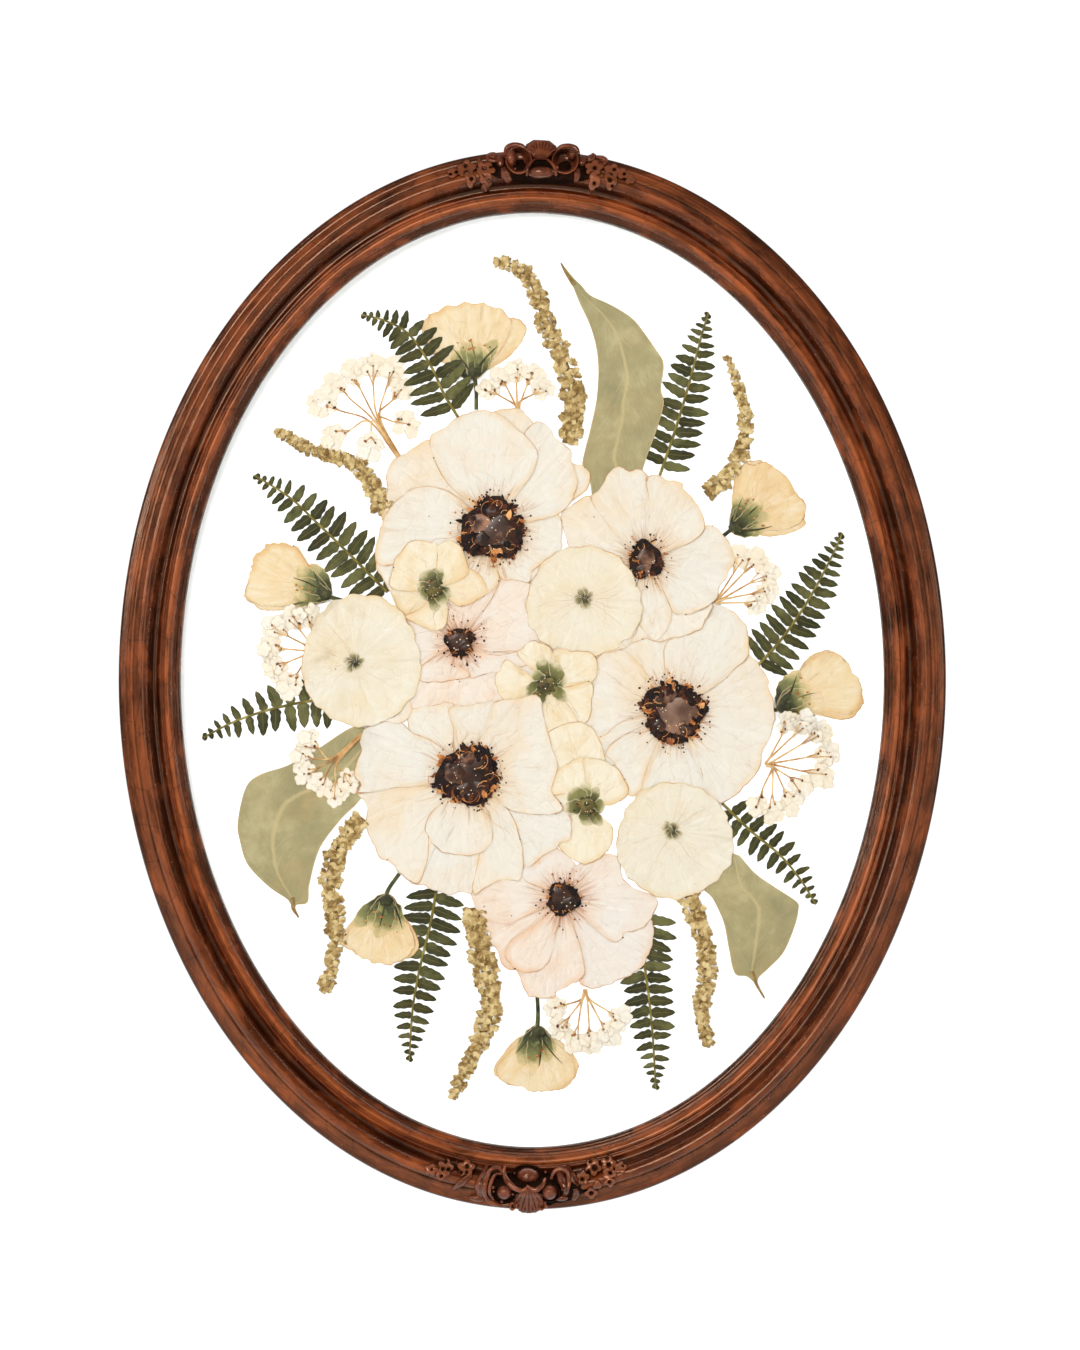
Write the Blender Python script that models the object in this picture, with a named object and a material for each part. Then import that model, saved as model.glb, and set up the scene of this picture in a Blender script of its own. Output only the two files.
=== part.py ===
"""Pressed flower frame: dried flowers, ferns and leaves laid on a white mat behind glass,
in an oval carved wooden frame that hangs on a wall.

The frame stands upright with its front towards -Y. A height is measured forwards from the
back of the moulding, and an inset is measured inwards from the frame's outer edge.
"""

import math

import bmesh
import bpy
from mathutils import Matrix

MM = 0.001

# Oval frame
OUTER_HALF_WIDTH = 173.5 * MM
OUTER_HALF_HEIGHT = 222.0 * MM
OVAL_STEPS = 40
MOULDING_WIDTH = 26.0 * MM
REBATE_INSET = 20.0 * MM
LEDGE_HEIGHT = 11.7 * MM
SIGHT_EDGE_HEIGHT = 13.2 * MM
BACK_SETBACK = 0.7 * MM
CLEARANCE = 0.3 * MM

# Stack of sheets behind the glass, as heights of back and front
DUST_COVER = (-0.7 * MM, -0.3 * MM)
BACKING_BOARD = (0.8 * MM, 3.2 * MM)
MAT_BOARD = (3.5 * MM, 5.0 * MM)
GLASS_SPACER = (5.3 * MM, 9.1 * MM)
GLASS_PANE = (9.4 * MM, 11.4 * MM)
SHEET_INSET = 21.0 * MM
SPACER_WIDTH = 3.8 * MM
DUST_COVER_INSET = 14.0 * MM

# Hanger in its pocket in the back of the top rail
HANGER_HEIGHT_UP = 211.0 * MM
HANGER_WIDTH = 38.0 * MM
HANGER_DEPTH = 8.0 * MM
HANGER_SHEET = 0.6 * MM
HANGER_FOOT = 7.0 * MM
HANGER_TEETH = 9
TOOTH_DEPTH = 1.6 * MM
POCKET_DEPTH = 2.6 * MM
POCKET_MARGIN = 1.2 * MM
NAIL_HEAD_RADIUS = 1.5 * MM
NAIL_RADIUS = 0.6 * MM
NAIL_LENGTH = 7.0 * MM

# Pressed pieces lie on the mat in thin levels
PRESSED = 0.5 * MM
LEVEL_STEP = 0.8 * MM
FIRST_LEVEL = MAT_BOARD[1] + CLEARANCE
INNER_PETALS_RISE = 0.2 * MM

# Places and outlines are read off the picture, x to the right and y down
PIXEL = 0.42 * MM
CENTRE = (532.3, 680.0)

WOOD = ("copper_brown_wood", (0.20, 0.075, 0.035), 0.38, 0.0)
CARVED_WOOD = ("carved_wood", (0.13, 0.050, 0.028), 0.42, 0.0)
GLASS = ("clear_glass", (0.95, 0.97, 0.97), 0.02, 0.0)
WHITE_CARD = ("white_card", (0.90, 0.90, 0.88), 0.80, 0.0)
GREY_BOARD = ("grey_board", (0.45, 0.42, 0.38), 0.85, 0.0)
KRAFT_PAPER = ("kraft_paper", (0.47, 0.32, 0.19), 0.85, 0.0)
STEEL = ("brassy_steel", (0.70, 0.58, 0.33), 0.35, 1.0)
CREAM_PETAL = ("cream_petal", (0.86, 0.77, 0.63), 0.65, 0.0)
PINK_PETAL = ("pink_petal", (0.87, 0.72, 0.62), 0.65, 0.0)
BUD_PETAL = ("bud_petal", (0.87, 0.73, 0.50), 0.65, 0.0)
FERN_GREEN = ("fern_green", (0.055, 0.070, 0.030), 0.60, 0.0)
SAGE_LEAF = ("sage_leaf", (0.35, 0.34, 0.21), 0.60, 0.0)
STRAW = ("straw_spike", (0.40, 0.30, 0.13), 0.80, 0.0)
FLORET = ("white_floret", (0.86, 0.80, 0.70), 0.70, 0.0)

# Large dark-hearted flowers: heart, its radius, how far it stands up, level and petal outline
ANEMONES = {
    "anemone_top_left": dict(
        heart=(492, 529), radius=27, rise=1.5 * MM, level=2, material=CREAM_PETAL,
        outline=[
            (483, 410), (514, 408), (533, 420), (551, 431), (569, 450), (589, 474),
            (572, 497), (557, 512), (562, 540), (558, 562), (529, 582), (499, 577),
            (470, 596), (430, 618), (404, 618), (388, 588), (374, 556), (384, 511),
            (385, 475), (400, 456), (428, 443), (434, 431), (463, 415),
        ],
    ),
    "anemone_top_right": dict(
        heart=(646, 559), radius=15, rise=1.2 * MM, level=2, material=CREAM_PETAL,
        outline=[
            (606, 474), (620, 467), (643, 471), (655, 476), (684, 484), (697, 504),
            (715, 527), (732, 547), (734, 562), (719, 585), (708, 604), (699, 629),
            (656, 641), (632, 643), (600, 625), (575, 590), (570, 556), (566, 537),
            (564, 515), (577, 504), (593, 494),
        ],
    ),
    "anemone_right": dict(
        heart=(673, 715), radius=27, rise=1.8 * MM, level=1, material=CREAM_PETAL,
        outline=[
            (650, 628), (690, 610), (712, 603), (722, 609), (744, 626), (747, 650),
            (768, 678), (774, 715), (769, 742), (763, 760), (746, 784), (721, 802),
            (680, 812), (640, 800), (612, 780), (590, 750), (583, 720), (588, 690),
            (592, 660), (610, 640),
        ],
    ),
    "anemone_left": dict(
        heart=(468, 779), radius=30, rise=1.5 * MM, level=2, material=CREAM_PETAL,
        outline=[
            (383, 722), (366, 728), (357, 760), (355, 790), (367, 803), (367, 834),
            (382, 859), (401, 877), (429, 888), (448, 895), (471, 894), (493, 885),
            (520, 879), (523, 867), (549, 853), (569, 840), (571, 822), (560, 805),
            (553, 781), (550, 743), (541, 722), (534, 700), (495, 705), (450, 711),
            (411, 719),
        ],
    ),
    "anemone_middle_pink": dict(
        heart=(460, 641), radius=15, rise=1.2 * MM, level=0, material=PINK_PETAL,
        outline=[
            (470, 575), (499, 575), (530, 580), (545, 600), (548, 640), (530, 670),
            (500, 684), (454, 690), (420, 690), (410, 660), (402, 625), (410, 600),
            (440, 585),
        ],
    ),
    "anemone_bottom_pink": dict(
        heart=(563, 900), radius=15, rise=1.4 * MM, level=1, material=PINK_PETAL,
        outline=[
            (472, 895), (499, 885), (521, 867), (548, 850), (590, 855), (625, 868),
            (655, 898), (654, 930), (651, 947), (640, 969), (604, 988), (580, 985),
            (567, 990), (549, 1000), (529, 995), (518, 978), (502, 967), (489, 936),
            (476, 911),
        ],
    ),
}

# Round petals with a small stem scar: centre, half width, half height, scar
PETAL_DISCS = {
    "round_petal_left": dict(centre=(361, 661), radii=(59, 66), scar=(354, 664)),
    "round_petal_top": dict(centre=(585, 602), radii=(56, 54), scar=(584, 598)),
    "round_petal_bottom": dict(centre=(675, 841), radii=(58, 58), scar=(671, 832)),
}

# Small yellow-cream flowers with a green heart
SMALL_FLOWERS = {
    "small_flower_left": [
        (408, 543), (433, 539), (453, 541), (463, 554), (468, 568), (484, 579), (484, 591),
        (476, 599), (458, 605), (440, 612), (432, 628), (421, 626), (408, 606), (396, 592),
        (392, 570), (398, 555),
    ],
    "small_flower_middle": [
        (520, 650), (531, 641), (541, 643), (552, 650), (567, 658), (589, 662), (592, 672),
        (590, 715), (578, 730), (557, 735), (547, 731), (537, 716), (520, 706), (502, 699),
        (495, 684), (498, 672), (507, 660),
    ],
    "small_flower_bottom": [
        (558, 768), (583, 757), (602, 761), (614, 767), (617, 782), (618, 797), (612, 812),
        (609, 830), (609, 845), (602, 855), (583, 864), (570, 858), (558, 845), (566, 828),
        (556, 812), (553, 795),
    ],
}
SMALL_FLOWER_HEARTS = {
    "small_flower_left": (434, 588),
    "small_flower_middle": (547, 685),
    "small_flower_bottom": (587, 806),
}

# Flowers pressed from the side: a fan of petals on a green calyx and stem
SIDE_FLOWERS = {
    "side_flower_top": dict(
        calyx=(473, 371), level=0,
        outline=[
            (472, 409), (471, 384), (459, 371), (440, 360), (428, 346), (421, 326), (431, 313),
            (448, 306), (475, 302), (495, 307), (518, 319), (527, 328), (523, 339), (511, 354),
            (499, 363), (486, 370), (477, 383), (478, 409),
        ],
    ),
    "side_flower_upper_right": dict(
        calyx=(747, 522), level=0,
        outline=[
            (723, 534), (731, 526), (733, 493), (741, 466), (752, 461), (768, 463), (786, 474),
            (798, 494), (806, 507), (804, 526), (782, 535), (766, 536), (750, 532), (737, 533),
            (727, 539),
        ],
    ),
    "side_flower_right": dict(
        calyx=(792, 703), level=0,
        outline=[
            (770, 708), (780, 703), (785, 690), (797, 674), (811, 656), (828, 651), (845, 659),
            (861, 687), (863, 704), (852, 718), (836, 719), (816, 713), (797, 718), (780, 713),
            (771, 714),
        ],
    ),
    "side_flower_left": dict(
        calyx=(317, 592), level=0,
        outline=[
            (350, 603), (341, 602), (328, 599), (306, 607), (285, 610), (256, 608), (243, 592),
            (251, 578), (251, 563), (265, 545), (280, 543), (295, 546), (303, 556), (313, 572),
            (323, 587), (340, 595), (352, 599),
        ],
    ),
    "side_flower_lower_left": dict(
        calyx=(387, 908), level=1,
        outline=[
            (396, 873), (383, 895), (381, 905), (360, 911), (349, 925), (344, 932), (344, 945),
            (369, 962), (387, 965), (406, 960), (418, 948), (412, 928), (400, 914), (391, 905),
            (392, 897), (402, 877),
        ],
    ),
    "side_flower_bottom": dict(
        calyx=(537, 1038), level=0,
        outline=[
            (534, 994), (534, 1011), (533, 1018), (535, 1028), (521, 1036), (511, 1044),
            (500, 1059), (493, 1071), (502, 1081), (519, 1088), (538, 1093), (554, 1090),
            (572, 1083), (579, 1071), (575, 1057), (565, 1046), (553, 1037), (541, 1029),
            (542, 1018), (540, 1011), (540, 994),
        ],
    ),
}

# Fern fronds: midrib from tip to base, number of leaflet pairs, longest leaflet and level
FERNS = {
    "fern_top_left": dict(
        rib=[(361, 314), (385, 320), (409, 334), (431, 366), (443, 392), (452, 406)],
        pairs=11, leaflet=34, level=1,
    ),
    "fern_top_right": dict(
        rib=[(709, 312), (702, 334), (691, 377), (676, 428), (662, 472)],
        pairs=15, leaflet=29, level=1,
    ),
    "fern_left": dict(
        rib=[(254, 475), (289, 497), (318, 524), (347, 552), (384, 589)],
        pairs=12, leaflet=27, level=0,
    ),
    "fern_lower_left": dict(
        rib=[(202, 738), (233, 722), (268, 710), (310, 701), (338, 700)],
        pairs=9, leaflet=28, level=0,
    ),
    "fern_right": dict(
        rib=[(843, 533), (829, 563), (807, 603), (782, 639), (761, 663)],
        pairs=13, leaflet=27, level=0,
    ),
    "fern_lower_right": dict(
        rib=[(816, 904), (801, 880), (780, 855), (751, 831), (729, 809)],
        pairs=9, leaflet=19, level=0,
    ),
    "fern_bottom_left": dict(
        rib=[(409, 1062), (412, 1013), (419, 971), (430, 925), (437, 892)],
        pairs=12, leaflet=26, level=0,
    ),
    "fern_bottom_right": dict(
        rib=[(656, 1090), (653, 1038), (649, 996), (645, 961), (648, 925)],
        pairs=14, leaflet=28, level=0,
    ),
}

# Long sage-green leaves
LEAVES = {
    "leaf_top": [
        (563, 264), (573, 276), (582, 285), (590, 294), (607, 302), (620, 309), (634, 319),
        (646, 334), (657, 350), (664, 363), (661, 388), (664, 403), (656, 432), (646, 459),
        (640, 472), (609, 472), (592, 493), (589, 476), (582, 465), (590, 430), (597, 395),
        (598, 360), (592, 330), (580, 303), (573, 286),
    ],
    "leaf_lower_left": [
        (365, 730), (352, 728), (314, 751), (286, 766), (259, 775), (245, 788), (237, 822),
        (239, 841), (247, 865), (268, 887), (288, 901), (291, 911), (297, 917), (295, 906),
        (307, 903), (309, 884), (319, 849), (340, 820), (362, 796), (368, 760),
    ],
    "leaf_lower_right": [
        (729, 857), (716, 873), (706, 888), (713, 899), (724, 923), (729, 948), (735, 974),
        (747, 977), (757, 986), (764, 998), (758, 981), (768, 970), (784, 953), (795, 927),
        (799, 910), (797, 904), (776, 890), (756, 876), (742, 862),
    ],
}

# Straw-coloured flower spikes: middle line from tip to base, half width at tip and base
SPIKES = {
    "spike_top": dict(
        line=[(496, 259), (522, 270), (536, 290), (547, 326), (556, 344), (571, 384),
              (574, 413), (567, 443)],
        half_widths=(7, 11), level=0,
    ),
    "spike_upper_right": dict(
        line=[(727, 355), (738, 384), (747, 421), (742, 450), (724, 479), (707, 493)],
        half_widths=(5, 9), level=1,
    ),
    "spike_left": dict(
        line=[(277, 430), (304, 446), (336, 457), (365, 472), (380, 501), (382, 515)],
        half_widths=(6, 10), level=1,
    ),
    "spike_lower_left": dict(
        line=[(323, 990), (331, 968), (335, 925), (333, 880), (346, 842), (362, 818)],
        half_widths=(7, 9), level=0,
    ),
    "spike_bottom_left": dict(
        line=[(452, 1096), (468, 1066), (484, 1031), (491, 996), (481, 947), (477, 910)],
        half_widths=(7, 11), level=0,
    ),
    "spike_bottom_right": dict(
        line=[(709, 1046), (702, 1013), (708, 971), (702, 932), (688, 896)],
        half_widths=(7, 9), level=0,
    ),
}

# Flat sprays of tiny white flowers: fork, foot of the stem, and each group (x, y, radius)
SPRAYS = {
    "spray_upper_left": dict(
        fork=(374, 419), foot=(398, 457), level=0,
        groups=[
            (334, 436, 10), (320, 405, 11), (333, 384, 10), (352, 371, 9), (372, 364, 9),
            (393, 368, 10), (403, 388, 9), (407, 423, 11),
        ],
    ),
    "spray_top": dict(
        fork=(517, 402), foot=(518, 413), level=0,
        groups=[(487, 389, 7), (500, 376, 7), (516, 369, 8), (533, 373, 8), (543, 388, 8)],
    ),
    "spray_left": dict(
        fork=(312, 650), foot=(324, 652), level=1,
        groups=[(310, 616, 8), (292, 618, 9), (273, 628, 9), (268, 648, 9), (273, 669, 9),
                (288, 686, 9)],
    ),
    "spray_lower_left": dict(
        fork=(334, 762), foot=(360, 736), level=1,
        groups=[(308, 741, 8), (299, 758, 8), (305, 775, 8), (320, 787, 8), (337, 795, 8),
                (351, 782, 8)],
    ),
    "spray_upper_right": dict(
        fork=(722, 600), foot=(717, 602), level=1,
        groups=[(741, 557, 8), (758, 556, 8), (769, 571, 8), (770, 590, 8), (757, 605, 7)],
    ),
    "spray_right": dict(
        fork=(771, 762), foot=(768, 764), level=1,
        groups=[(788, 722, 8), (806, 721, 8), (822, 733, 9), (829, 755, 9), (822, 777, 9),
                (802, 787, 9), (793, 806, 8), (775, 814, 8), (758, 807, 7)],
    ),
    "spray_bottom": dict(
        fork=(585, 999), foot=(585, 992), level=1,
        groups=[(556, 1009, 9), (560, 1029, 9), (574, 1044, 8), (592, 1045, 8), (610, 1036, 9),
                (622, 1019, 9)],
    ),
}

# Carved ornaments: half outlines and bosses as (across from the middle, y, half width, half height)
ORNAMENTS = {
    "top_ornament": dict(
        middle=541,
        half_outline=[
            (0, 141), (12, 142), (19, 147), (33, 148), (42, 155), (58, 157), (70, 165),
            (84, 171), (92, 181), (84, 187), (74, 192), (62, 189), (52, 194), (44, 185),
            (30, 183), (0, 182),
        ],
        bosses=[
            (0, 152, 15, 10), (0, 171, 15, 10), (24, 164, 13, 14), (34, 156, 5, 10),
            (42, 164, 6, 9), (53, 174, 8, 14), (70, 180, 9, 10),
        ],
    ),
    "bottom_ornament": dict(
        middle=527,
        half_outline=[
            (0, 1162), (14, 1165), (24, 1168), (45, 1166), (60, 1158), (72, 1157), (84, 1152),
            (97, 1163), (96, 1170), (84, 1180), (70, 1180), (64, 1192), (54, 1198), (44, 1199),
            (34, 1203), (20, 1204), (14, 1210), (8, 1213), (0, 1214),
        ],
        bosses=[
            (0, 1174, 12, 9), (0, 1202, 17, 11), (14, 1177, 4, 11), (24, 1190, 9, 9),
            (38, 1184, 9, 16), (60, 1176, 8, 14), (82, 1166, 8, 10),
        ],
    ),
}
ORNAMENT_BACK = 12.0 * MM
ORNAMENT_FRONT = 32.0 * MM
BOSS_HEIGHT = 21.5 * MM
BOSS_RISE = 8.0 * MM


def clear_scene():
    for item in list(bpy.data.objects):
        bpy.data.objects.remove(item, do_unlink=True)


def new_collection(name):
    group = bpy.data.collections.new(name)
    bpy.context.scene.collection.children.link(group)
    return group


def material(finish):
    """The Principled material of one finish, made once."""
    name, colour, roughness, metallic = finish
    made = bpy.data.materials.get(name)
    if made:
        return made
    made = bpy.data.materials.new(name)
    made.use_nodes = True
    made.diffuse_color = (*colour, 1.0)
    shader = made.node_tree.nodes["Principled BSDF"]
    shader.inputs["Base Color"].default_value = (*colour, 1.0)
    shader.inputs["Roughness"].default_value = roughness
    shader.inputs["Metallic"].default_value = metallic
    if finish == GLASS:
        shader.inputs["Transmission Weight"].default_value = 1.0
    return made


def at(pixel):
    """A place in the picture's plane, as (x, z)."""
    return (pixel[0] - CENTRE[0]) * PIXEL, (CENTRE[1] - pixel[1]) * PIXEL


def places(pixels):
    return [at(pixel) for pixel in pixels]


def oval(inset):
    """Points around the frame at a distance inwards from its outer edge, as (x, z)."""
    points = []
    for step in range(OVAL_STEPS):
        turn = 2 * math.pi * step / OVAL_STEPS
        across = OUTER_HALF_HEIGHT * math.cos(turn)
        up = OUTER_HALF_WIDTH * math.sin(turn)
        length = math.hypot(across, up)
        points.append((
            OUTER_HALF_WIDTH * math.cos(turn) - inset * across / length,
            OUTER_HALF_HEIGHT * math.sin(turn) - inset * up / length,
        ))
    return points


def level_heights(level):
    back = FIRST_LEVEL + level * LEVEL_STEP
    return back, back + PRESSED


def as_mesh(piece, group):
    """A curve object made into a mesh object of the same name, with its caps welded on."""
    bpy.context.view_layer.update()
    evaluated = piece.evaluated_get(bpy.context.evaluated_depsgraph_get())
    mesh = bpy.data.meshes.new_from_object(evaluated)
    name = piece.name
    place = piece.matrix_world.copy()
    finish = piece.data.materials[0] if piece.data.materials else None
    bpy.data.objects.remove(piece, do_unlink=True)
    shape = bmesh.new()
    shape.from_mesh(mesh)
    bmesh.ops.remove_doubles(shape, verts=shape.verts, dist=1e-6)
    bmesh.ops.recalc_face_normals(shape, faces=shape.faces)
    shape.to_mesh(mesh)
    shape.free()
    solid = bpy.data.objects.new(name, mesh)
    solid.matrix_world = place
    if finish and not mesh.materials:
        mesh.materials.append(finish)
    group.objects.link(solid)
    return solid


def sheet(name, outlines, heights, finish, group):
    """A flat piece between two heights, cut to closed outlines of (x, z); inner ones are holes."""
    curve = bpy.data.curves.new(name, "CURVE")
    curve.dimensions = "2D"
    curve.fill_mode = "BOTH"
    curve.extrude = (heights[1] - heights[0]) / 2
    for outline in outlines:
        spline = curve.splines.new("POLY")
        spline.points.add(len(outline) - 1)
        for point, (x, z) in zip(spline.points, outline):
            point.co = (x, z, 0, 1)
        spline.use_cyclic_u = True
    curve.materials.append(material(finish))
    piece = bpy.data.objects.new(name, curve)
    piece.rotation_euler = (math.pi / 2, 0, 0)
    piece.location = (0, -BACK_SETBACK - (heights[0] + heights[1]) / 2, 0)
    group.objects.link(piece)
    return as_mesh(piece, group)


def dome(name, place, half_size, height, rise, finish, group, segments=10, rings=6):
    """A low rounded boss on the picture's plane, as a flattened sphere."""
    shape = bmesh.new()
    bmesh.ops.create_uvsphere(shape, u_segments=segments, v_segments=rings, radius=1.0)
    half_width, half_height = half_size
    shape.transform(Matrix.Diagonal((half_width, half_height, rise, 1)))
    shape.transform(Matrix.Rotation(math.pi / 2, 4, "X"))
    shape.transform(Matrix.Translation((place[0], -BACK_SETBACK - height, place[1])))
    mesh = bpy.data.meshes.new(name)
    shape.to_mesh(mesh)
    shape.free()
    mesh.materials.append(material(finish))
    piece = bpy.data.objects.new(name, mesh)
    group.objects.link(piece)
    return piece


def box(name, low, high, finish, group):
    """A box between two corners, given as (x, height, z)."""
    shape = bmesh.new()
    bmesh.ops.create_cube(shape, size=1.0)
    size = [high[axis] - low[axis] for axis in range(3)]
    middle = [(high[axis] + low[axis]) / 2 for axis in range(3)]
    shape.transform(Matrix.Diagonal((*size, 1)))
    shape.transform(Matrix.Translation((middle[0], -BACK_SETBACK - middle[1], middle[2])))
    mesh = bpy.data.meshes.new(name)
    shape.to_mesh(mesh)
    shape.free()
    mesh.materials.append(material(finish))
    piece = bpy.data.objects.new(name, mesh)
    group.objects.link(piece)
    return piece


def rod(name, place, radius, heights, segments, finish, group):
    """A round rod standing square to the picture's plane, between two heights."""
    shape = bmesh.new()
    bmesh.ops.create_cone(
        shape, cap_ends=True, segments=segments, radius1=radius, radius2=radius,
        depth=heights[1] - heights[0],
    )
    shape.transform(Matrix.Rotation(math.pi / 2, 4, "X"))
    middle = (heights[0] + heights[1]) / 2
    shape.transform(Matrix.Translation((place[0], -BACK_SETBACK - middle, place[1])))
    mesh = bpy.data.meshes.new(name)
    shape.to_mesh(mesh)
    shape.free()
    mesh.materials.append(material(finish))
    piece = bpy.data.objects.new(name, mesh)
    group.objects.link(piece)
    return piece


def combine(piece, other, operation):
    """Join, cut or trim a piece by another, which becomes a hidden guide."""
    step = piece.modifiers.new(f"{operation.lower()}_{other.name}", "BOOLEAN")
    step.operation = operation
    step.object = other
    other.hide_render = True
    other.display_type = "WIRE"


def moulding_profile(grow=0.0):
    """The moulding's section as (inset, height), moved outwards by a small distance."""
    points = [
        (0.0, 0.0), (20.0, 0.0), (20.0, 11.7), (26.0, 11.7), (26.0, 13.2), (22.0, 16.6),
        (18.0, 19.2), (14.6, 17.3), (12.8, 22.0), (9.3, 26.0), (6.2, 23.6), (5.0, 20.2),
        (0.4, 18.2),
    ]
    points = [(inset * MM, height * MM) for inset, height in points]
    grown = []
    for index, (inset, height) in enumerate(points):
        before = points[index - 1]
        after = points[(index + 1) % len(points)]
        along = (after[0] - before[0], after[1] - before[1])
        length = math.hypot(*along)
        grown.append((inset + grow * along[1] / length, height - grow * along[0] / length))
    return grown


def ornament_profile():
    """The section of the carved ornaments before the moulding is cut out of them."""
    points = [
        (-5.0, 14.0), (2.0, 13.0), (25.6, 12.6), (26.0, 15.0), (24.0, 19.0), (20.0, 21.5),
        (16.4, 21.6), (14.0, 25.0), (9.3, 29.2), (5.0, 27.0), (1.0, 23.0), (-4.0, 20.5),
    ]
    return [(inset * MM, height * MM) for inset, height in points]


def moulding(name, profile, group):
    """The moulding's section carried around the oval, as one closed ring."""
    section = bpy.data.curves.new(name + "_section", "CURVE")
    section.dimensions = "2D"
    section.fill_mode = "NONE"
    outline = section.splines.new("POLY")
    outline.points.add(len(profile) - 1)
    for point, (inset, height) in zip(outline.points, profile):
        point.co = (inset, height, 0, 1)
    outline.use_cyclic_u = True
    section_object = bpy.data.objects.new(name + "_section", section)
    path = bpy.data.curves.new(name, "CURVE")
    path.dimensions = "2D"
    path.fill_mode = "NONE"
    path.bevel_mode = "OBJECT"
    path.bevel_object = section_object
    spline = path.splines.new("POLY")
    around = oval(0.0)
    spline.points.add(len(around) - 1)
    for point, (x, z) in zip(spline.points, around):
        point.co = (x, z, 0, 1)
    spline.use_cyclic_u = True
    path.materials.append(material(WOOD))
    ring = bpy.data.objects.new(name, path)
    ring.rotation_euler = (math.pi / 2, 0, 0)
    ring.location = (0, -BACK_SETBACK, 0)
    group.objects.link(ring)
    group.objects.link(section_object)
    ring = as_mesh(ring, group)
    bpy.data.objects.remove(section_object, do_unlink=True)
    return ring


def hanger_places():
    """Where the two nails go, as (x, z)."""
    across = HANGER_WIDTH / 2 - HANGER_FOOT / 2
    up = HANGER_HEIGHT_UP + HANGER_DEPTH * 0.6
    return {"hanger_nail_left": (-across, up), "hanger_nail_right": (across, up)}


def build_frame(parts, guides):
    """The oval moulding, with the hanger's pocket and nail holes cut in its back."""
    frame = moulding("oval_frame", moulding_profile(), parts)
    half = HANGER_WIDTH / 2 + POCKET_MARGIN
    pocket = box(
        "pocket_cutter",
        (-half, -1 * MM, HANGER_HEIGHT_UP - 2 * POCKET_MARGIN),
        (half, POCKET_DEPTH, HANGER_HEIGHT_UP + HANGER_DEPTH + POCKET_MARGIN / 2),
        WOOD, guides,
    )
    combine(frame, pocket, "DIFFERENCE")
    for name, place in hanger_places().items():
        depth = POCKET_DEPTH + NAIL_LENGTH
        hole = rod(name + "_cutter", place, NAIL_RADIUS + CLEARANCE, (1 * MM, depth), 8, WOOD,
                   guides)
        combine(frame, hole, "DIFFERENCE")


def build_hanger(parts, guides):
    """A strip with two feet, a raised middle and a toothed lower edge, and its two nails."""
    half = HANGER_WIDTH / 2
    foot_back = POCKET_DEPTH - CLEARANCE - HANGER_SHEET
    low = HANGER_HEIGHT_UP
    high = HANGER_HEIGHT_UP + HANGER_DEPTH
    middle_half = half - HANGER_FOOT
    pitch = 2 * middle_half / HANGER_TEETH
    outline = [(half - HANGER_FOOT, high), (-half + HANGER_FOOT, high)]
    for tooth in range(HANGER_TEETH):
        left = -middle_half + tooth * pitch
        outline.append((left, low))
        outline.append((left + pitch / 2, low + TOOTH_DEPTH))
    outline.append((middle_half, low))
    raised = foot_back - 1.2 * MM
    strip = sheet("sawtooth_hanger", [outline], (raised, raised + HANGER_SHEET), STEEL, parts)
    for side in (-1, 1):
        inner = side * (middle_half - 0.4 * MM)
        outer = side * half
        foot = box(
            f"foot_guide_{side}", (min(inner, outer), foot_back, low + 1.5 * MM),
            (max(inner, outer), foot_back + HANGER_SHEET, high - 0.3 * MM), STEEL, guides,
        )
        riser_edges = (side * (middle_half - 0.5 * MM), side * (middle_half + 0.5 * MM))
        riser = box(
            f"riser_guide_{side}", (min(riser_edges), raised + 0.1 * MM, low + 1.8 * MM),
            (max(riser_edges), foot_back + 0.3 * MM, high - 0.6 * MM), STEEL, guides,
        )
        combine(strip, foot, "UNION")
        combine(strip, riser, "UNION")
    for name, place in hanger_places().items():
        hole = rod(name + "_hole_cutter", place, NAIL_RADIUS + CLEARANCE, (0, 5 * MM), 8, STEEL,
                   guides)
        combine(strip, hole, "DIFFERENCE")
        head_front = foot_back - CLEARANCE
        head = rod(name, place, NAIL_HEAD_RADIUS, (head_front - 0.5 * MM, head_front), 10, STEEL,
                   parts)
        shank_end = POCKET_DEPTH + NAIL_LENGTH - 1 * MM
        shank = rod(name + "_shank_guide", place, NAIL_RADIUS, (head_front - 0.2 * MM, shank_end),
                    6, STEEL, guides)
        combine(head, shank, "UNION")


def build_stack(parts):
    """The glass, its spacer, the mat, the backing board and the paper dust cover."""
    sheet("glass_pane", [oval(SHEET_INSET)], GLASS_PANE, GLASS, parts)
    spacer = [oval(SHEET_INSET), oval(SHEET_INSET + SPACER_WIDTH)]
    sheet("glass_spacer", spacer, GLASS_SPACER, WHITE_CARD, parts)
    sheet("mat_board", [oval(SHEET_INSET)], MAT_BOARD, WHITE_CARD, parts)
    sheet("backing_board", [oval(SHEET_INSET)], BACKING_BOARD, GREY_BOARD, parts)
    sheet("dust_cover", [oval(DUST_COVER_INSET)], DUST_COVER, KRAFT_PAPER, parts)


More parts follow.
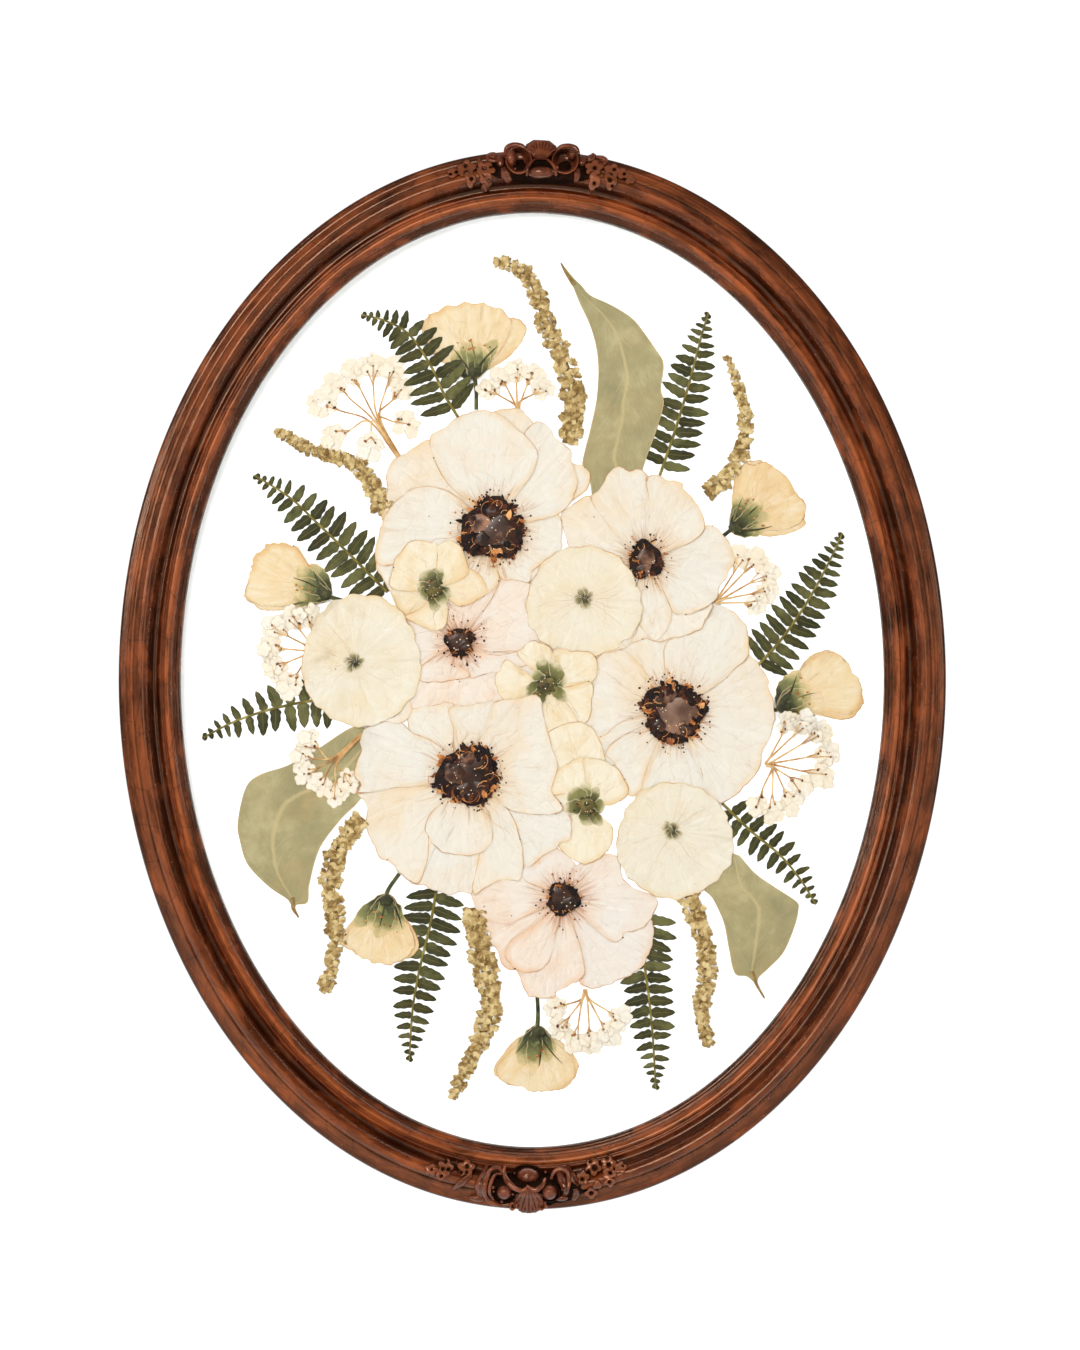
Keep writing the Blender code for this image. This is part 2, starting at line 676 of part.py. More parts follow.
def build_ornament(name, ornament, parts, guides):
    """A carved spray that follows the moulding, with bosses standing on it."""
    half = ornament["half_outline"]
    middle = ornament["middle"]
    right = [(middle + across, y) for across, y in half]
    left = [(middle - across, y) for across, y in reversed(half[1:-1])]
    carving = sheet(
        name, [places(right + left)], (ORNAMENT_BACK, ORNAMENT_FRONT), CARVED_WOOD, parts
    )
    thick = moulding(name + "_thickness_guide", ornament_profile(), guides)
    combine(carving, thick, "INTERSECT")
    for across, y, half_width, half_height in ornament["bosses"]:
        for side in (-1, 1) if across else (1,):
            boss = dome(
                f"{name}_boss_guide", at((middle + side * across, y)),
                (half_width * PIXEL, half_height * PIXEL), BOSS_HEIGHT, BOSS_RISE,
                CARVED_WOOD, guides, segments=8, rings=4,
            )
            combine(carving, boss, "UNION")
    clear = moulding(name + "_clearance_cutter", moulding_profile(CLEARANCE), guides)
    combine(carving, clear, "DIFFERENCE")


def shrunk(outline, middle, share):
    """An outline drawn in towards a middle."""
    return [
        (middle[0] + (x - middle[0]) * share, middle[1] + (y - middle[1]) * share)
        for x, y in outline
    ]


def build_anemone(name, flower, parts, guides):
    """Outer petals, a raised ring of inner petals and a dark rounded heart."""
    back, front = level_heights(flower["level"])
    heart = at(flower["heart"])
    outline = flower["outline"]
    petals = sheet(name, [places(outline)], (back, front), flower["material"], parts)
    inner = shrunk(outline[::2], flower["heart"], 0.62)
    raised = (back + PRESSED / 2, front + INNER_PETALS_RISE)
    inner_petals = sheet(name + "_inner_guide", [places(inner)], raised, flower["material"],
                         guides)
    combine(petals, inner_petals, "UNION")
    radius = flower["radius"] * PIXEL
    middle = (back + front) / 2
    rise = front + flower["rise"] - middle
    core = dome(name + "_heart_guide", heart, (radius, radius), middle, rise,
                flower["material"], guides, segments=12, rings=6)
    floor = box(
        name + "_floor_cutter",
        (heart[0] - 2 * radius, back - 5 * MM, heart[1] - 2 * radius),
        (heart[0] + 2 * radius, back + 0.1 * MM, heart[1] + 2 * radius),
        flower["material"], guides,
    )
    combine(core, floor, "DIFFERENCE")
    combine(petals, core, "UNION")


def build_disc(name, disc, parts, guides):
    """A round pressed petal with a small raised scar."""
    steps = 20
    wave = 0.02
    outline = []
    for step in range(steps):
        turn = 2 * math.pi * step / steps
        reach = 1 + wave * math.cos(3 * turn + 1) + wave * math.cos(5 * turn)
        outline.append((
            disc["centre"][0] + disc["radii"][0] * reach * math.cos(turn),
            disc["centre"][1] + disc["radii"][1] * reach * math.sin(turn),
        ))
    back, front = level_heights(3)
    petal = sheet(name, [places(outline)], (back, front), CREAM_PETAL, parts)
    scar = dome(name + "_scar_guide", at(disc["scar"]), (3 * MM, 3 * MM), front - 0.1 * MM,
                0.35 * MM, CREAM_PETAL, guides, segments=8, rings=4)
    combine(petal, scar, "UNION")


def build_small_flower(name, outline, parts, guides):
    """A small flat flower with a rounded green heart."""
    back, front = level_heights(3)
    petals = sheet(name, [places(outline)], (back, front), CREAM_PETAL, parts)
    heart = dome(name + "_heart_guide", at(SMALL_FLOWER_HEARTS[name]), (6 * MM, 6 * MM),
                 front - 0.1 * MM, 0.35 * MM, CREAM_PETAL, guides, segments=8, rings=4)
    combine(petals, heart, "UNION")


def build_side_flower(name, flower, parts, guides):
    """A fan of petals with a raised calyx."""
    back, front = level_heights(flower["level"])
    fan = sheet(name, [places(flower["outline"])], (back, front), BUD_PETAL, parts)
    calyx = dome(name + "_calyx_guide", at(flower["calyx"]), (3.2 * MM, 3.2 * MM),
                 front - 0.1 * MM, 0.35 * MM, BUD_PETAL, guides, segments=8, rings=4)
    combine(fan, calyx, "UNION")


def point_along(line, share):
    """The place and direction at a share of a line's length."""
    lengths = [math.dist(a, b) for a, b in zip(line, line[1:])]
    distance = share * sum(lengths)
    for (a, b), length in zip(zip(line, line[1:]), lengths):
        if distance <= length or b == line[-1]:
            part = distance / length
            place = (a[0] + (b[0] - a[0]) * part, a[1] + (b[1] - a[1]) * part)
            return place, ((b[0] - a[0]) / length, (b[1] - a[1]) / length)
        distance -= length


def fern_outline(rib, pairs, leaflet):
    """A frond's outline: pointed leaflets on both sides of a midrib, from tip to base."""
    rib_half = 1.2
    forward_lean = 0.2
    sides = {1: [], -1: []}
    for pair in range(pairs):
        start = (pair + 0.15) / pairs
        reach = leaflet * min(1.0, 0.30 + 1.1 * start)
        for side in sides:
            notch, along = point_along(rib, start)
            middle, _ = point_along(rib, (pair + 0.7) / pairs)
            across = (-along[1] * side, along[0] * side)
            sides[side].append((notch[0] + across[0] * rib_half,
                                notch[1] + across[1] * rib_half))
            sides[side].append((
                middle[0] + (across[0] - along[0] * forward_lean) * reach,
                middle[1] + (across[1] - along[1] * forward_lean) * reach,
            ))
    return [rib[0]] + sides[1] + [rib[-1]] + sides[-1][::-1]


def build_fern(name, fern, parts):
    outline = fern_outline(fern["rib"], fern["pairs"], fern["leaflet"])
    sheet(name, [places(outline)], level_heights(fern["level"]), FERN_GREEN, parts)


def spike_outline(line, half_widths):
    """A spike's knobbly outline on both sides of its middle line."""
    knobs = 8
    sides = {1: [], -1: []}
    for knob in range(2 * knobs + 1):
        share = knob / (2 * knobs)
        place, along = point_along(line, share)
        half = half_widths[0] + (half_widths[1] - half_widths[0]) * share
        for side in sides:
            swell = 1.0 if (knob + (side > 0)) % 2 else 0.72
            reach = half * swell * min(1.0, 0.45 + 4 * share)
            sides[side].append((place[0] - along[1] * side * reach,
                                place[1] + along[0] * side * reach))
    return sides[1] + sides[-1][::-1]


def build_spike(name, spike, parts):
    outline = spike_outline(spike["line"], spike["half_widths"])
    sheet(name, [places(outline)], level_heights(spike["level"]), STRAW, parts)


def spray_outline(fork, foot, groups):
    """Stalks fanned from a fork, each ending in a round group of tiny flowers."""
    stalk_half = 0.9
    crotch = 6.5
    arc_points = 4
    gap_turn = 0.6
    foot_turn = math.atan2(foot[1] - fork[1], foot[0] - fork[0])

    def turn_from_foot(group):
        turn = math.atan2(group[1] - fork[1], group[0] - fork[0])
        return (turn - foot_turn) % (2 * math.pi)

    outline = []
    for x, y, radius in sorted(groups, key=turn_from_foot):
        stalk_turn = math.atan2(y - fork[1], x - fork[0])
        along = (math.cos(stalk_turn), math.sin(stalk_turn))
        crotch_place = (fork[0] + along[0] * crotch, fork[1] + along[1] * crotch)
        outline.append((crotch_place[0] + along[1] * stalk_half,
                        crotch_place[1] - along[0] * stalk_half))
        for step in range(arc_points):
            share = step / (arc_points - 1)
            turn = stalk_turn + math.pi + gap_turn / 2 + share * (2 * math.pi - gap_turn)
            outline.append((x + radius * math.cos(turn), y + radius * math.sin(turn)))
        outline.append((crotch_place[0] - along[1] * stalk_half,
                        crotch_place[1] + along[0] * stalk_half))
    along = (math.cos(foot_turn), math.sin(foot_turn))
    outline.append((foot[0] + along[1] * stalk_half, foot[1] - along[0] * stalk_half))
    outline.append((foot[0] - along[1] * stalk_half, foot[1] + along[0] * stalk_half))
    return outline


def build_spray(name, spray, parts):
    outline = spray_outline(spray["fork"], spray["foot"], spray["groups"])
    sheet(name, [places(outline)], level_heights(spray["level"]), FLORET, parts)


def main():
    clear_scene()
    parts = new_collection("pressed_flower_frame")
    guides = new_collection("guides")
    build_frame(parts, guides)
    build_hanger(parts, guides)
    build_stack(parts)
    for name, ornament in ORNAMENTS.items():
        build_ornament(name, ornament, parts, guides)
    for name, flower in ANEMONES.items():
        build_anemone(name, flower, parts, guides)
    for name, disc in PETAL_DISCS.items():
        build_disc(name, disc, parts, guides)
    for name, outline in SMALL_FLOWERS.items():
        build_small_flower(name, outline, parts, guides)
    for name, flower in SIDE_FLOWERS.items():
        build_side_flower(name, flower, parts, guides)
    for name, fern in FERNS.items():
        build_fern(name, fern, parts)
    for name, outline in LEAVES.items():
        sheet(name, [places(outline)], level_heights(0), SAGE_LEAF, parts)
    for name, spike in SPIKES.items():
        build_spike(name, spike, parts)
    for name, spray in SPRAYS.items():
        build_spray(name, spray, parts)


main()
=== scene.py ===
"""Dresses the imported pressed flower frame: the mottled wooden moulding and its carvings, the sheets
behind the glass, and every pressed petal, leaflet, bract and floret.

Flat work is in millimetres, as (x, height, z): x to the right, z up, and height forwards from the
back of the moulding. Places are read off the picture in pixels, x to the right and y down.
"""

import math

import bpy
import numpy as np
from mathutils.kdtree import KDTree
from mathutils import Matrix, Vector


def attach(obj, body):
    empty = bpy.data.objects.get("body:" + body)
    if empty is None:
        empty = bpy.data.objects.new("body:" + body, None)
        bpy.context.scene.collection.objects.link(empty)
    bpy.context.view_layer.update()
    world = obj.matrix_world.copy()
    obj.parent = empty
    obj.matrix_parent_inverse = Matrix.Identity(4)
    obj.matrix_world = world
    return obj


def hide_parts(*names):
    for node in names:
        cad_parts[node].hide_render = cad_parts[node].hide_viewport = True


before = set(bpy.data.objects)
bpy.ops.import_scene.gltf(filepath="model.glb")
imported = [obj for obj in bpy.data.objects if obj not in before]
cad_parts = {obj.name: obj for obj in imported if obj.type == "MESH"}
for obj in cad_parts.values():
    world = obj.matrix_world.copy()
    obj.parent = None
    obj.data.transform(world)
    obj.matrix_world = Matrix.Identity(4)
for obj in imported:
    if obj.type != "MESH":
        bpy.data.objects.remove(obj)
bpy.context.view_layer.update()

# The picture
PIXEL = 0.42
CENTRE = (532.3, 680.0)
PICTURE = (1080, 1350)

# The frame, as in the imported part
MM = 0.001
OUTER_HALF_WIDTH = 173.5
OUTER_HALF_HEIGHT = 222.0
BACK_SETBACK = 0.7
MAT_FRONT = 5.0
GLASS_BACK = 9.4

# Pressed pieces. The stack is built loose, up to its ceiling, and then pressed under the glass
PETAL_THICKNESS = 0.12
LEAF_THICKNESS = 0.2
LAYER_GAP = 0.05
PRESSED_FLAT = 0.52
CEILING = MAT_FRONT + (GLASS_BACK - MAT_FRONT - 0.1) / PRESSED_FLAT

# How much darker than the white card everything else is
SHADE = 0.80
PETAL_SHADE = 0.625
FLORET_SHADE = 0.70


def srgb(code, factor=SHADE):
    """A linear colour from a hexadecimal one."""
    parts = [int(code[start:start + 2], 16) / 255 for start in (1, 3, 5)]
    return tuple(factor * (part / 12.92 if part <= 0.04045 else ((part + 0.055) / 1.055) ** 2.4)
                 for part in parts)


def tones(codes, factor=SHADE):
    """The linear colours of several hexadecimal ones, parted by spaces."""
    return [srgb(code, factor) for code in codes.split()]


def at(pixel):
    """A place in the picture's plane, as (x, z) in millimetres."""
    return np.array(((pixel[0] - CENTRE[0]) * PIXEL, (CENTRE[1] - pixel[1]) * PIXEL))


def places(pixels):
    return np.array([at(pixel) for pixel in pixels])


# Shapes


def toward(turn):
    """A step of length 1 at an angle, in the picture's plane."""
    return np.array((math.cos(turn), math.sin(turn)))


def tangents(line):
    """The direction of a line at each of its points."""
    along = np.gradient(line, axis=0)
    return along / np.linalg.norm(along, axis=1)[:, None]


def per_point(like, *values):
    """Values gathered so that each point of a grid has its own."""
    return np.stack([np.broadcast_to(value, like.shape) for value in values], -1)


def ripple(x, z, seed, wavelength, waves=7):
    """Smooth irregular waves over a plane, between about -1 and 1."""
    draw = np.random.default_rng(seed)
    total = np.zeros(np.shape(x))
    for _ in range(waves):
        turn = draw.uniform(0, 2 * math.pi)
        step = 2 * math.pi / (wavelength * draw.uniform(0.7, 1.5))
        total += np.sin((x * math.cos(turn) + z * math.sin(turn)) * step
                        + draw.uniform(0, 2 * math.pi))
    return total / math.sqrt(waves) / 1.2


def smooth(points, count, closed=False):
    """Points evenly spaced on a smooth curve through the given ones."""
    points = np.asarray(points, float)
    if closed:
        padded = np.vstack([points[-1:], points, points[:2]])
    else:
        padded = np.vstack([2 * points[:1] - points[1:2], points, 2 * points[-1:] - points[-2:-1]])
    share = np.linspace(0, 1, 12, endpoint=False)[:, None]
    pieces = []
    for start in range(len(padded) - 3):
        a, b, c, d = padded[start:start + 4]
        pieces.append(0.5 * (2 * b + (c - a) * share + (2 * a - 5 * b + 4 * c - d) * share ** 2
                             + (3 * b - a - 3 * c + d) * share ** 3))
    curve = np.vstack(pieces + [padded[-2:-1]])
    length = np.concatenate([[0], np.cumsum(np.linalg.norm(np.diff(curve, axis=0), axis=1))])
    stations = np.linspace(0, length[-1], count, endpoint=not closed)
    return np.stack([np.interp(stations, length, curve[:, axis])
                     for axis in range(curve.shape[1])], -1)


def grid_faces(rows, columns, wrap=False):
    row, column = np.meshgrid(np.arange(rows - 1), np.arange(columns if wrap else columns - 1),
                              indexing="ij")
    after = (column + 1) % columns
    corners = [row * columns + column, row * columns + after, (row + 1) * columns + after,
               (row + 1) * columns + column]
    return np.stack(corners, -1).reshape(-1, 4)


def slab(top, thickness, wrap=False):
    """A thin closed sheet under a grid of points: its points and faces."""
    rows, columns, _ = top.shape
    faces = grid_faces(rows, columns, wrap)
    flat = top.reshape(-1, 3)
    corners = flat[faces][:, :, [0, 2]]
    after = np.roll(corners, -1, axis=1)
    area = (corners[..., 0] * after[..., 1] - corners[..., 1] * after[..., 0]).sum()
    if area < 0:
        faces = faces[:, ::-1]
    count = rows * columns
    under = flat.copy()
    under[:, 1] -= thickness
    starts = faces.reshape(-1)
    ends = np.roll(faces, -1, axis=1).reshape(-1)
    rim = ~np.isin(starts * count + ends, ends * count + starts)
    start, end = starts[rim], ends[rim]
    sides = np.stack([end, start, start + count, end + count], -1)
    return np.vstack([flat, under]), np.vstack([faces, faces[:, ::-1] + count, sides])


def ball(centre, radii, segments=8, rings=5, tilt=0.0):
    """An ellipsoid: radii along x, height and z, turned in the picture's plane."""
    around = np.linspace(0, 2 * math.pi, segments, endpoint=False)
    down = np.linspace(0.12, math.pi - 0.12, rings)
    down, around = np.meshgrid(down, around, indexing="ij")
    across = np.sin(down) * np.cos(around) * radii[0]
    up = np.sin(down) * np.sin(around) * radii[2]
    x = centre[0] + across * math.cos(tilt) - up * math.sin(tilt)
    z = centre[2] + across * math.sin(tilt) + up * math.cos(tilt)
    height = centre[1] + np.cos(down) * radii[1]
    points = np.stack([x, height, z], -1).reshape(-1, 3)
    faces = grid_faces(rings, segments, True)
    ends = [(centre[0], centre[1] + end * radii[1], centre[2]) for end in (1, -1)]
    points = np.vstack([points, ends])
    top, bottom = len(points) - 2, len(points) - 1
    after = np.roll(np.arange(segments), -1)
    last = (rings - 1) * segments
    cap = [[int(i), int(j), top] for i, j in zip(after, range(segments))]
    cup = [[last + int(j), last + int(i), bottom] for i, j in zip(after, range(segments))]
    return points, faces[:, ::-1].tolist() + cap + cup


def tube(line, radii, sides=6, flatten=1.0):
    """A tapering round strand along a line of (x, height, z) points."""
    line = np.asarray(line, float)
    radii = np.broadcast_to(radii, len(line))
    along = np.gradient(line, axis=0)
    along /= np.linalg.norm(along, axis=1)[:, None] + 1e-9
    across = np.cross(along, (0, 1, 0))
    across /= np.linalg.norm(across, axis=1)[:, None] + 1e-9
    out = np.cross(across, along)
    turn = np.linspace(0, 2 * math.pi, sides, endpoint=False)
    ring = (across[:, None] * np.cos(turn)[None, :, None]
            + out[:, None] * np.sin(turn)[None, :, None] * flatten)
    points = (line[:, None] + ring * radii[:, None, None]).reshape(-1, 3)
    faces = grid_faces(len(line), sides, True).tolist()
    last = (len(line) - 1) * sides
    faces.append(list(range(sides))[::-1])
    faces.append([last + side for side in range(sides)])
    return points, faces


class Shape:
    """Surfaces gathered into one object. Each point carries two triples that its look reads."""

    def __init__(self, pressed=True):
        self.pressed = pressed
        self.points = []
        self.faces = []
        self.face_looks = []
        self.looks = []
        self.first = []
        self.second = []
        self.count = 0

    def add(self, solid, look, first=(0, 0, 0), second=(0, 0, 0)):
        points, faces = solid
        number = len(points)
        if isinstance(faces, np.ndarray):
            faces = faces.tolist()
        if look not in self.looks:
            self.looks.append(look)
        self.points.append(points)
        offset = self.count
        self.faces += [[corner + offset for corner in face] for face in faces]
        self.face_looks += [self.looks.index(look)] * len(faces)
        for store, values in ((self.first, first), (self.second, second)):
            values = np.asarray(values, float)
            if values.ndim == 3:
                values = values.reshape(-1, 3)
            if values.ndim == 2 and len(values) * 2 == number:
                values = np.vstack([values, values])
            store.append(np.broadcast_to(values, (number, 3)))
        self.count += number

    def make(self, name, slot, *nodes, sharp=50):
        """The finished object, which stands for its CAD nodes."""
        points = np.vstack(self.points)
        if self.pressed:
            lying = np.minimum(points[:, 1], CEILING) - MAT_FRONT
            points[:, 1] = MAT_FRONT + lying * PRESSED_FLAT
        world = np.stack([points[:, 0], -(points[:, 1] + BACK_SETBACK), points[:, 2]], -1) * MM
        mesh = bpy.data.meshes.new(name)
        mesh.from_pydata(world.tolist(), [], self.faces)
        for look in self.looks:
            mesh.materials.append(look)
        mesh.polygons.foreach_set("material_index", self.face_looks)
        mesh.polygons.foreach_set("use_smooth", [True] * len(self.faces))
        for label, store in (("first", self.first), ("second", self.second)):
            values = mesh.attributes.new(label, "FLOAT_VECTOR", "POINT")
            values.data.foreach_set("vector", np.vstack(store).reshape(-1))
        mesh.validate()
        mesh.set_sharp_from_angle(angle=math.radians(sharp))
        piece = bpy.data.objects.new(name, mesh)
        bpy.context.scene.collection.objects.link(piece)
        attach(piece, "root")
        if nodes:
            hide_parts(*nodes)
        return piece


class Ground:
    """The height of what has been laid on the mat so far, on a fine grid of cells."""

    CELL = 0.5
    HALF_X = 155.0
    HALF_Z = 205.0

    def __init__(self):
        size = (int(2 * self.HALF_Z / self.CELL), int(2 * self.HALF_X / self.CELL))
        self.height = np.full(size, MAT_FRONT)

    def cells(self, x, z):
        return (np.asarray(z) + self.HALF_Z) / self.CELL, (np.asarray(x) + self.HALF_X) / self.CELL

    def under(self, x, z, reach=2.0):
        """The smooth height at which a thin sheet comes to lie over what is there."""
        row, column = self.cells(x, z)
        steps = max(1, int(reach / self.CELL))
        margin = 2 * steps + 2
        low_row = max(0, int(row.min()) - margin)
        low_column = max(0, int(column.min()) - margin)
        window = self.height[low_row:int(row.max()) + margin, low_column:int(column.max()) + margin]
        window = window.copy()
        for _ in range(steps):
            for axis in (0, 1):
                before = np.roll(window, 1, axis)
                after = np.roll(window, -1, axis)
                window = np.maximum(window, np.maximum(before, after))
        for _ in range(steps):
            for axis in (0, 1):
                window = (window + np.roll(window, 1, axis) + np.roll(window, -1, axis)) / 3
        row = row - low_row
        column = column - low_column
        top_row = np.clip(row.astype(int), 0, window.shape[0] - 2)
        left = np.clip(column.astype(int), 0, window.shape[1] - 2)
        down, right = row - top_row, column - left
        return (window[top_row, left] * (1 - down) * (1 - right)
                + window[top_row + 1, left] * down * (1 - right)
                + window[top_row, left + 1] * (1 - down) * right
                + window[top_row + 1, left + 1] * down * right)

    def press(self, top):
        """Adds a sheet's front to the heights."""
        steps = [np.linalg.norm(np.diff(top, axis=axis), axis=2).max() for axis in (0, 1)]
        dense = top
        for axis, step in enumerate(steps):
            fine = max(1, int(math.ceil(step / 0.4)))
            first = np.take(dense, range(dense.shape[axis] - 1), axis)
            last = np.take(dense, range(1, dense.shape[axis]), axis)
            pieces = [first + (last - first) * part for part in np.arange(fine) / fine]
            dense = np.concatenate(pieces, axis)
        row, column = self.cells(dense[..., 0], dense[..., 2])
        row = np.clip(row.astype(int), 0, self.height.shape[0] - 1)
        column = np.clip(column.astype(int), 0, self.height.shape[1] - 1)
        np.maximum.at(self.height, (row, column), dense[..., 1])


ground = Ground()


# Looks


# The colour sockets of a Mix node, by number, because their names repeat
COLOUR_A, COLOUR_B, COLOUR_RESULT = 6, 7, 2


class Look:
    """A short way to write a material's nodes."""

    def __init__(self, name, colour, roughness=0.5, **inputs):
        self.material = bpy.data.materials.new(name)
        self.material.use_nodes = True
        self.material.diffuse_color = (*colour, 1.0)
        self.tree = self.material.node_tree
        self.shader = self.tree.nodes["Principled BSDF"]
        self.put(self.shader.inputs["Base Color"], colour)
        self.put(self.shader.inputs["Roughness"], roughness)
        self.put(self.shader.inputs["Specular IOR Level"], 0.2)
        for key, value in inputs.items():
            self.put(self.shader.inputs[key.replace("_", " ")], value)

    def put(self, socket, value):
        if isinstance(value, bpy.types.NodeSocket):
            self.tree.links.new(value, socket)
        elif isinstance(value, tuple) and socket.type == "RGBA":
            socket.default_value = (*value[:3], 1.0)
        else:
            socket.default_value = value

    def add(self, kind, inputs=None, **settings):
        node = self.tree.nodes.new(kind)
        for key, value in settings.items():
            setattr(node, key, value)
        for key, value in (inputs or {}).items():
            self.put(node.inputs[key], value)
        return node

    def triple(self, name):
        """The three numbers that each point carries under a name."""
        vector = self.add("ShaderNodeAttribute", attribute_name=name).outputs["Vector"]
        parts = self.add("ShaderNodeSeparateXYZ", {"Vector": vector}).outputs
        return parts["X"], parts["Y"], parts["Z"]

    def place(self):
        return self.add("ShaderNodeTexCoord").outputs["Object"]

    def join(self, x, y, z=0.0):
        return self.add("ShaderNodeCombineXYZ", {"X": x, "Y": y, "Z": z}).outputs["Vector"]

    def noise(self, vector, scale, detail=2.0, roughness=0.5, distortion=0.0):
        return self.add("ShaderNodeTexNoise", {
            "Vector": vector, "Scale": scale, "Detail": detail, "Roughness": roughness,
            "Distortion": distortion,
        }).outputs["Fac"]

    def math(self, operation, first, second=0.0, clamp=False):
        node = self.add("ShaderNodeMath", {0: first, 1: second}, operation=operation)
        node.use_clamp = clamp
        return node.outputs[0]

    def times(self, first, second):
        return self.math("MULTIPLY", first, second)

    def plus(self, first, second, clamp=False):
        return self.math("ADD", first, second, clamp)

    def away(self, value, middle):
        """How far a value is from a middle one."""
        return self.math("ABSOLUTE", self.math("SUBTRACT", value, middle))

    def chosen(self, cells, axis, share):
        """1 in the few cells whose own random number is above the share."""
        own = self.add("ShaderNodeSeparateXYZ", {"Vector": cells.outputs["Color"]}).outputs[axis]
        return self.math("GREATER_THAN", own, share)

    def fade(self, value, low, high, start=0.0, end=1.0):
        """The value's range from low to high, made start to end."""
        return self.add("ShaderNodeMapRange", {
            "Value": value, "From Min": low, "From Max": high, "To Min": start, "To Max": end,
        }).outputs["Result"]

    def mix(self, share, first, second, blend="MIX"):
        node = self.add("ShaderNodeMix", data_type="RGBA", blend_type=blend)
        self.put(node.inputs["Factor"], share)
        self.put(node.inputs[COLOUR_A], first)
        self.put(node.inputs[COLOUR_B], second)
        return node.outputs[COLOUR_RESULT]

    def ramp(self, value, *stops):
        node = self.add("ShaderNodeValToRGB", {"Fac": value})
        elements = node.color_ramp.elements
        while len(elements) < len(stops):
            elements.new(1.0)
        for element, (position, colour) in zip(elements, stops):
            element.position = position
            element.color = (*colour, 1.0)
        return node.outputs["Color"]

    def cells(self, vector, scale, **settings):
        return self.add("ShaderNodeTexVoronoi", {"Vector": vector, "Scale": scale}, **settings)

    def bump(self, height, distance, strength=1.0, normal=None):
        node = self.add("ShaderNodeBump", {
            "Height": height, "Distance": distance, "Strength": strength,
        })
        if normal:
            self.put(node.inputs["Normal"], normal)
        return node.outputs["Normal"]

    def colour(self, value):
        self.put(self.shader.inputs["Base Color"], value)

    def normal(self, value):
        self.put(self.shader.inputs["Normal"], value)


# How far a petal's markings are bent, in metres
PETAL_WANDER = (0.006, 0.006, 0.006)


